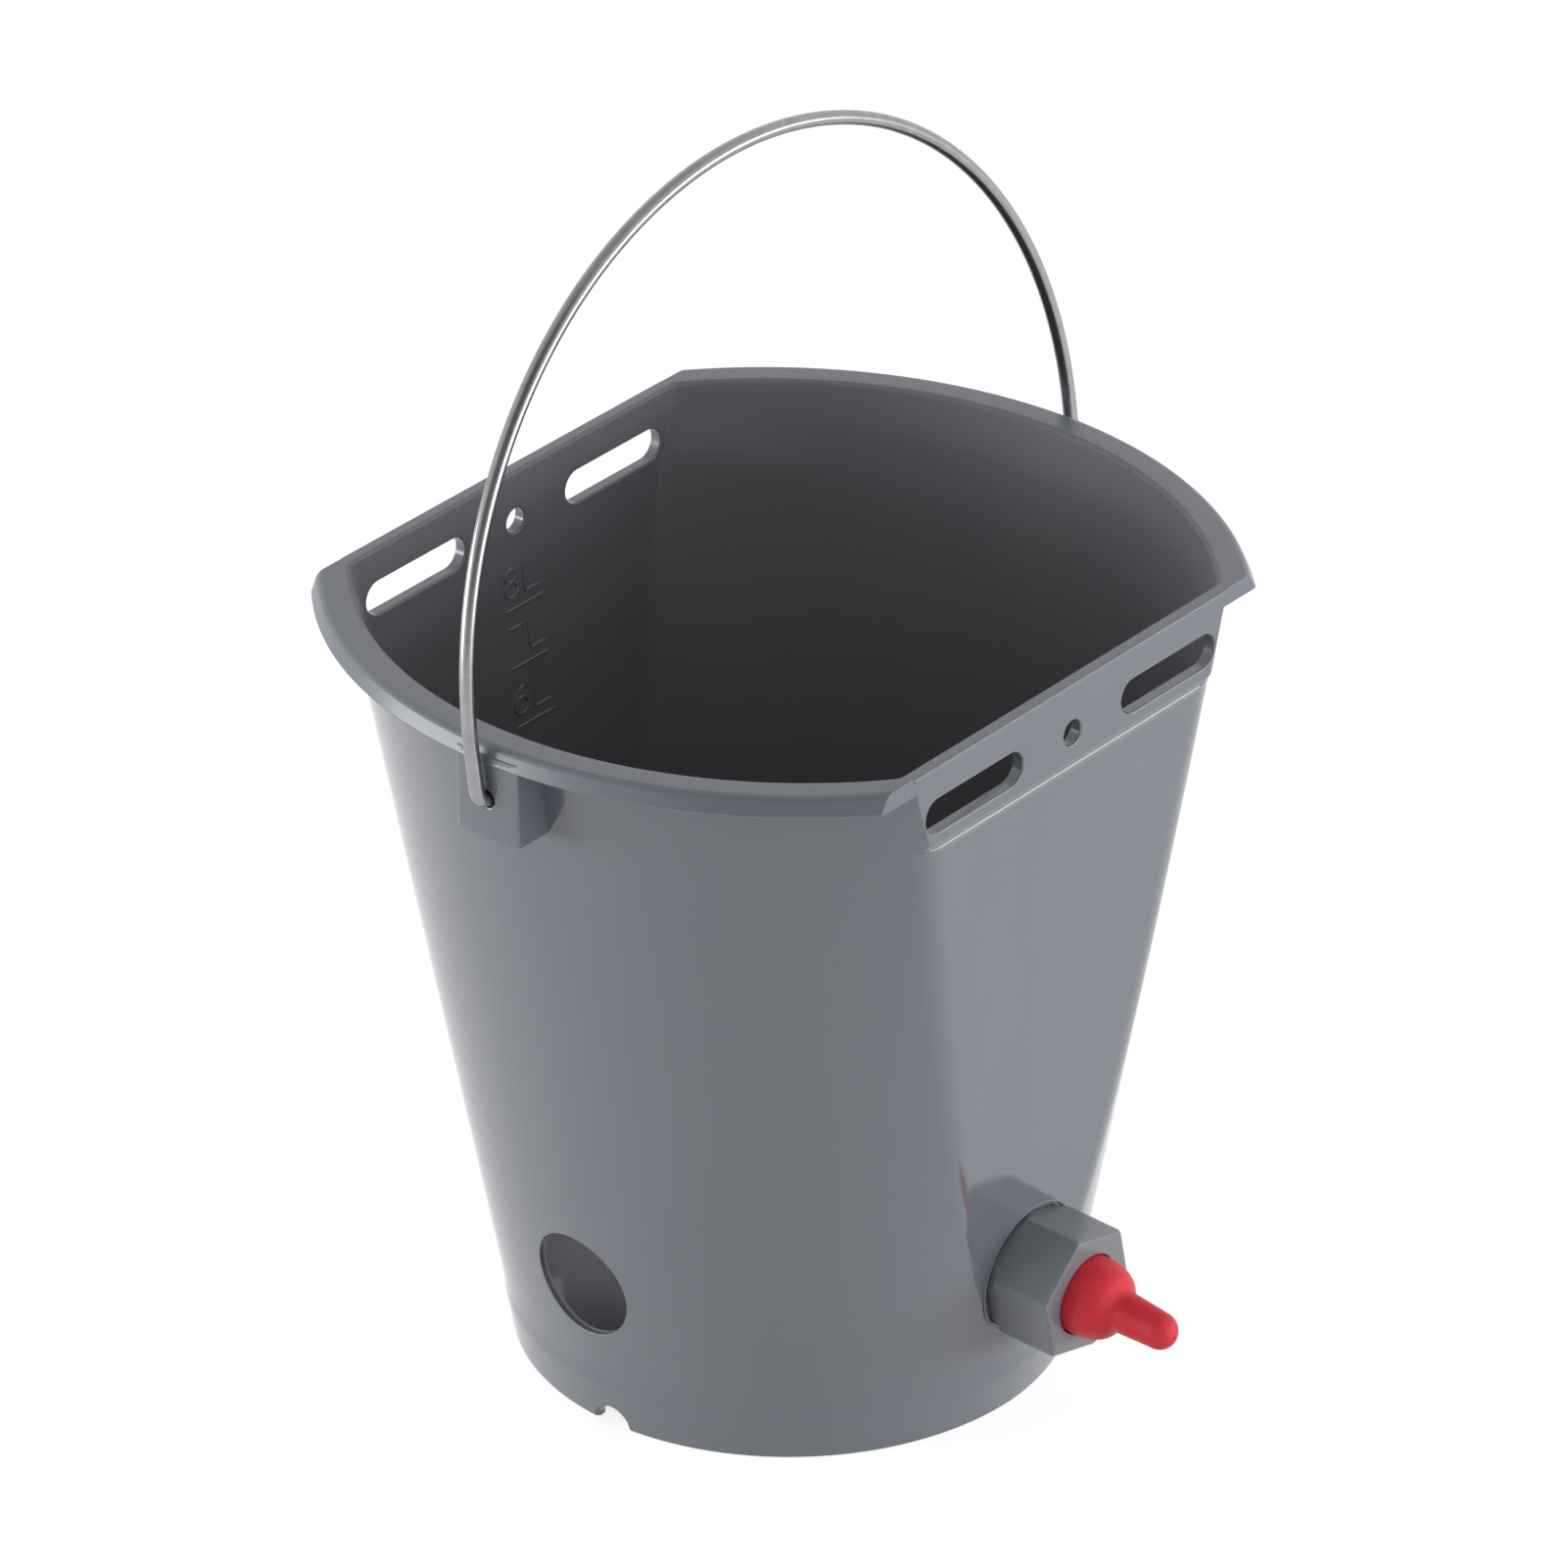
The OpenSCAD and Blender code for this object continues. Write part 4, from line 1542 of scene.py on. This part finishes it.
@dataclass
class UnionNut:
    """The hexagon nut that clamps the teat onto the spigot."""

    valve: ValvePlace = field(default_factory=ValvePlace)
    flats: float = 41.7
    rear: float = 0.3
    front: float = 26.0
    lip: float = 3.0
    chamfer: float = 2.0
    bore: float = 16.8
    hole: float = 14.4
    phase: float = 45.0
    corner_cut: float = 0.2
    collar: float = 22.35
    collar_length: float = 2.2
    count: int = 144
    edge: tuple[Triple, ...] = (
        (1.1, 0.02, 0.25), (0.6, 0.13, 0.45), (0.24, 0.4, 0.75), (0.05, 0.75, 1.1),
        (0.0, 1.0, 1.4))

    def outline(self, inset: float, limit: float) -> tuple[np.ndarray, np.ndarray]:
        """Returns the hexagon's points, drawn in, with round corners and within a circle.

        Args:
            inset: How far the flats are drawn in.
            limit: Radius of the circle that trims the corners.

        Returns:
            The x and y of each point.
        """
        turn = round_steps(self.count)
        corner = (turn + math.pi / 6) % (math.pi / 3) - math.pi / 6
        side = self.flats / 2 - inset
        reach = side / np.cos(math.pi / 6 - np.abs(corner))
        reach = np.minimum(reach, side / math.cos(math.pi / 6) - self.corner_cut)
        blend = np.minimum(reach, limit)
        angle = turn + math.radians(self.phase)
        return blend * np.cos(angle), blend * np.sin(angle)

    def build(self, material: Material) -> Obj:
        """Lofts the hexagon, its front lip and its bore, and takes the node's place.

        Args:
            material: The finish of the piece.

        Returns:
            The finished object.
        """
        wide = self.flats / 2 / math.cos(math.pi / 6)
        front, hole, bore, collar = self.front, self.hole, self.bore, self.collar
        step, ledge = self.rear + self.collar_length, front - self.lip
        levels = [(self.rear, 0.5, collar - 0.4), (self.rear + 0.3, 0.0, collar),
                  (step, 0.0, collar), (step + 0.7, 0.0, (collar + wide) / 2),
                  (step + 1.4, 0.0, wide)]
        levels += [(w, 0.0, wide) for w in np.linspace(5, front - self.chamfer - 1, 6)]
        levels += [(front - self.chamfer, 0.0, wide - 0.1)]
        levels += [(front - depth, inset, wide - less) for depth, inset, less in self.edge]
        rows = [self.valve.point(*self.outline(inset, limit), np.full(self.count, w))
                for w, inset, limit in levels]
        rounds = [(hole + 0.5, front), (hole + 0.15, front - 0.15), (hole, front - 0.5),
                  (hole, ledge), (bore, ledge), (bore, 18.0), (bore, 12.0), (bore, 6.0),
                  (bore, self.rear + 0.6), (bore + 0.6, self.rear)]
        rows += [self.valve.circle(r, w, self.count, 0.0, math.radians(self.phase))
                 for r, w in rounds]
        nut = skin("union_nut_hexagon", rows, closed=True)
        dress(soften(nut, 24), material)
        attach(nut, "union_nut")
        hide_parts("union_nut")
        return nut


@dataclass
class Teat:
    """The red rubber teat: clamped flange, bell, nipple and milk hole."""

    valve: ValvePlace = field(default_factory=ValvePlace)
    flange: float = 16.4
    back: float = 20.0
    lip: float = 23.0
    bell: float = 14.0
    bell_root: float = 28.42
    neck: float = 7.2
    neck_w: float = 40.5
    tip: float = 6.4
    tip_w: float = 56.1
    droop: float = 1.0
    crease: float = 0.5
    crease_drop: float = 1.2
    crease_rise: float = 1.9
    crease_pull: float = 2.3
    crease_lean: float = 0.08
    blend_angle: float = 60.0
    milk_hole: float = 0.45
    duct: float = 4.7
    duct_tip: float = 3.9
    duct_end: float = 2.5
    room: float = 10.0

    def sag(self, w: float) -> float:
        """Returns the upward shift of the axis at w, which is below zero past the bell."""
        t = max(0.0, (w - self.bell_root) / (self.tip_w + self.tip - self.bell_root))
        return -self.droop * t * t

    def bell_blend(self) -> Pairs:
        """Returns the bell's outline and the soft crease that leads it into the nipple.

        Returns:
            The (radius, w) points.
        """
        wide = self.bell - self.neck - self.crease
        deep = self.neck_w - self.bell_root - self.crease_drop
        turn = math.radians(self.blend_angle)
        out = [(self.neck + self.crease + wide * math.cos(a),
                self.bell_root + deep * math.sin(a)) for a in np.linspace(0, turn, 15)[1:]]
        first = np.array(out[-1])
        last = np.array((self.neck, self.neck_w + self.crease_rise))
        way = np.array((-wide * math.sin(turn), deep * math.cos(turn)))
        second = first + way / np.linalg.norm(way) * self.crease_pull
        third = last - np.array((-self.crease_lean, self.crease_rise))
        for t in np.linspace(0, 1, 9)[1:]:
            u = 1 - t
            spot = first * u ** 3 + 3 * second * u * u * t + 3 * third * u * t * t + last * t ** 3
            out.append((float(spot[0]), float(spot[1])))
        return out

    def profile(self) -> Pairs:
        """Returns the (radius, w) outline, outside first and then back inside.

        Returns:
            The (radius, w) points, once round the section.
        """
        flange, back, lip, bell = self.flange, self.back, self.lip, self.bell
        out = [(10.4, back), (flange - 0.3, back), (flange, back + 0.3), (flange, lip - 0.4),
               (flange - 0.4, lip - 0.02), (bell + 0.1, lip - 0.02), (bell, lip + 0.2),
               (bell, 25.0), (bell, 26.6), (bell, self.bell_root)]
        out += self.bell_blend()
        low = self.neck_w + self.crease_rise
        out += [(self.neck + (self.tip - self.neck) * t, low + (self.tip_w - low) * t)
                for t in np.linspace(0, 1, 8)[1:]]
        out += [(self.tip * math.cos(a), self.tip_w + self.tip * math.sin(a))
                for a in np.linspace(0, math.radians(82), 12)[1:]]
        out += [(self.milk_hole + 0.05, self.tip_w + self.tip - 0.1),
                (self.milk_hole, self.tip_w + self.duct_tip - 0.3)]
        out += [(self.duct_tip * math.cos(a), self.tip_w + self.duct_tip * math.sin(a))
                for a in np.linspace(math.radians(80), 0, 6)]
        foot = self.neck_w - self.duct_end
        out.append((self.duct, foot))
        out += [(self.duct + (self.room - self.duct) * math.cos(a),
                 self.bell_root + (foot - self.bell_root) * math.sin(a))
                for a in np.linspace(QUARTER, 0, 10)[1:]]
        return out + [(self.room, back + 0.4)]

    def build(self, material: Material) -> Obj:
        """Turns the teat and puts it in place of its node.

        Args:
            material: The finish of the piece.

        Returns:
            The finished object.
        """
        teat = self.valve.lathe("drinking_teat", self.profile(), 96, True, self.sag)
        dress(soften(teat, 40), material)
        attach(teat, "teat")
        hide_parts("teat")
        return teat


@dataclass
class SpigotThread:
    """The coarse thread on the spigot, which shows when the nut is unscrewed."""

    valve: ValvePlace = field(default_factory=ValvePlace)
    root: float = 16.2
    crest: float = 16.72
    start: float = 1.6
    end: float = 18.4
    pitch: float = 4.0
    width: float = 2.0
    run_out: int = 12

    def build(self, material: Material) -> Obj:
        """Sweeps the thread's ridge along its helix.

        Args:
            material: The finish of the piece.

        Returns:
            The finished object.
        """
        turns = (self.end - self.start) / self.pitch
        steps = int(turns * 60)
        half, top = self.width / 2, self.width / 5
        low, foot, root = self.root - 0.4, self.root + 0.2, self.root + 0.05
        rows = []
        for i in range(steps + 1):
            a = FULL_TURN * turns * i / steps
            w = self.start + (self.end - self.start) * i / steps
            fade = min(1.0, i / self.run_out, (steps - i) / self.run_out)
            crest = root + (self.crest - root) * fade
            r = np.array([low, foot, crest, crest, foot, low])
            o = np.array([-half, -half, -top, top, half, half]) + w
            rows.append(self.valve.point(r * math.cos(a), r * math.sin(a), o))
        thread = skin("spigot_thread", rows)
        dress(soften(thread, 30), material)
        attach(thread, "bucket")
        return thread


def dress_carried_nodes(finishes: dict[str, Material]) -> None:
    """Gives the nodes that stay their finish.

    Args:
        finishes: The material of each node by name.
    """
    for name, material in finishes.items():
        dress(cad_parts[name], material)
        LOG.info("carried over %s in %s", name, material.name)


# The studio


@dataclass
class Studio:
    """White paper floor, soft lamps and the camera at the photograph's angle."""

    eye: Triple = (-2.24511301, -1.86880086, 1.83996778)
    right: Triple = (0.63525426, -0.77222989, -0.01063088)
    up: Triple = (0.38322639, 0.30324028, 0.87245795)
    back: Triple = (-0.67051439, -0.55830666, 0.48857355)
    focal_pixels: float = 10295.771
    image_pixels: float = 1601.0
    sensor: float = 36.0
    sky_light: float = 0.41
    sky_full: float = 0.5
    zenith: float = 0.8
    zenith_gloss: float = 0.6
    room_side: Triple = (-0.60, -0.50, 0.62)
    room_level: float = 0.25
    room_start: float = 0.62
    room_end: float = 0.92
    gloss_full: float = 0.95
    aim_height: float = 0.16
    floor_half: float = 6.0
    floor_gap: float = 0.0002
    sight: float = 50.0

    def camera(self) -> None:
        """Places the camera and makes it the scene's own."""
        data = bpy.data.cameras.new("photograph_camera")
        data.sensor_fit = "HORIZONTAL"
        data.sensor_width = self.sensor
        data.lens = self.focal_pixels * self.sensor / self.image_pixels
        data.clip_end = self.sight
        obj = bpy.data.objects.new("photograph_camera", data)
        obj.matrix_world = placing((self.right, self.up, self.back), self.eye)
        bpy.context.scene.collection.objects.link(obj)
        bpy.context.scene.camera = obj

    def lamp(self, name: str, bearing: float, elevation: float, distance: float,
             size: Span, power: float) -> None:
        """Hangs a soft lamp that looks at the middle of the bucket.

        Args:
            name: Name of the lamp.
            bearing: Degrees round the bucket from the camera, positive to the camera's right.
            elevation: Degrees above the ground.
            distance: Distance in metres.
            size: Width and height of the lamp in metres.
            power: Power in watts.
        """
        data = bpy.data.lights.new(name, "AREA")
        data.shape = "RECTANGLE"
        data.size, data.size_y = size
        data.energy = power
        obj = bpy.data.objects.new(name, data)
        around = math.atan2(self.back[1], self.back[0]) + math.radians(bearing)
        rise = math.radians(elevation)
        way = Vector((math.cos(around) * math.cos(rise), math.sin(around) * math.cos(rise),
                      math.sin(rise)))
        obj.location = Vector((0, 0, self.aim_height)) + way * distance
        obj.rotation_euler = way.to_track_quat("Z", "Y").to_euler()
        bpy.context.scene.collection.objects.link(obj)

    def floor(self) -> None:
        """Lays the paper floor."""
        a = self.floor_half
        obj = new_object("paper_floor", [(-a, -a, 0), (a, -a, 0), (a, a, 0), (-a, a, 0)],
                         [(0, 1, 2, 3)])
        obj.location.z = -self.floor_gap
        dress(obj, StudioPaper().material())

    def world(self) -> None:
        """Sets a surround that is white round the bucket and dims a little overhead.

        The camera sees plain white. Reflections see the same white, apart from the darker
        room on one side, and the light that falls on the object stays at a plain level.
        """
        world = bpy.data.worlds.new("white_surround")
        world.use_nodes = True
        n = Nodes(world.node_tree)

        def mix(first: Socket, second: object, share: Socket) -> Socket:
            """Goes from one level to another by a share."""
            step = n.calc("SUBTRACT", second, first)
            return n.calc("ADD", first, n.calc("MULTIPLY", step, share))

        way = n.node("ShaderNodeTexCoord").outputs["Generated"]
        height = n.node("ShaderNodeSeparateXYZ", Vector=way).outputs["Z"]
        near = n.vector("DOT_PRODUCT", way, self.room_side).outputs["Value"]
        room = n.change(near, self.room_start, self.room_end, 1.0, self.room_level, True)
        path = n.node("ShaderNodeLightPath").outputs
        overhead = n.change(height, self.sky_full, 1.0, 1.0, self.zenith, True)
        mirrored = n.change(height, self.sky_full, self.gloss_full, 1.0, self.zenith_gloss, True)
        seen = n.calc("MAXIMUM", path["Is Glossy Ray"], path["Is Transmission Ray"])
        level = mix(n.calc("MULTIPLY", overhead, self.sky_light),
                    n.calc("MULTIPLY", mirrored, room), seen)
        shade = n.tree.nodes["Background"]
        n.fill(shade.inputs["Color"], (1, 1, 1, 1))
        n.fill(shade.inputs["Strength"], mix(level, 1.0, path["Is Camera Ray"]))
        bpy.context.scene.world = world

    def build(self) -> None:
        """Builds camera, floor, surround and lamps."""
        self.camera()
        self.floor()
        self.world()
        self.lamp("left_softbox", bearing=-82, elevation=3, distance=2.2, size=(1.6, 0.8),
                  power=23)
        self.lamp("right_softbox", bearing=74, elevation=4, distance=2.2, size=(2.2, 0.8),
                  power=26)
        bpy.context.scene.view_settings.view_transform = "Standard"


def main() -> None:
    """Builds the studio and every piece, and reports each one."""
    Studio().build()
    grey = BucketPlastic("grey_plastic", (0.192, 0.211, 0.253), (0.208, 0.226, 0.269),
                         ior=1.68).material()
    nut_grey = MouldedPlastic("nut_plastic", (0.250, 0.265, 0.292), (0.270, 0.285, 0.312),
                              (0.26, 0.34)).material()
    white = MouldedPlastic("white_plastic", (0.78, 0.78, 0.76), (0.83, 0.83, 0.81),
                           (0.22, 0.32)).material()
    black = SealRubber().material()
    pieces = [Bucket().build(grey), LitreScale().build(grey),
              Bail().build(GalvanisedWire().material()), UnionNut().build(nut_grey),
              Teat().build(TeatRubber().material()), SpigotThread().build(grey)]
    for piece in pieces:
        LOG.info("built %s with %d faces", piece.name, len(piece.data.polygons))
    dress_carried_nodes({"valve_body": grey, "wall_gasket": black, "valve_ball": white,
                         "ball_stop": grey})


if __name__ == "__main__":
    logging.basicConfig(level=logging.INFO, format="%(message)s")
    main()
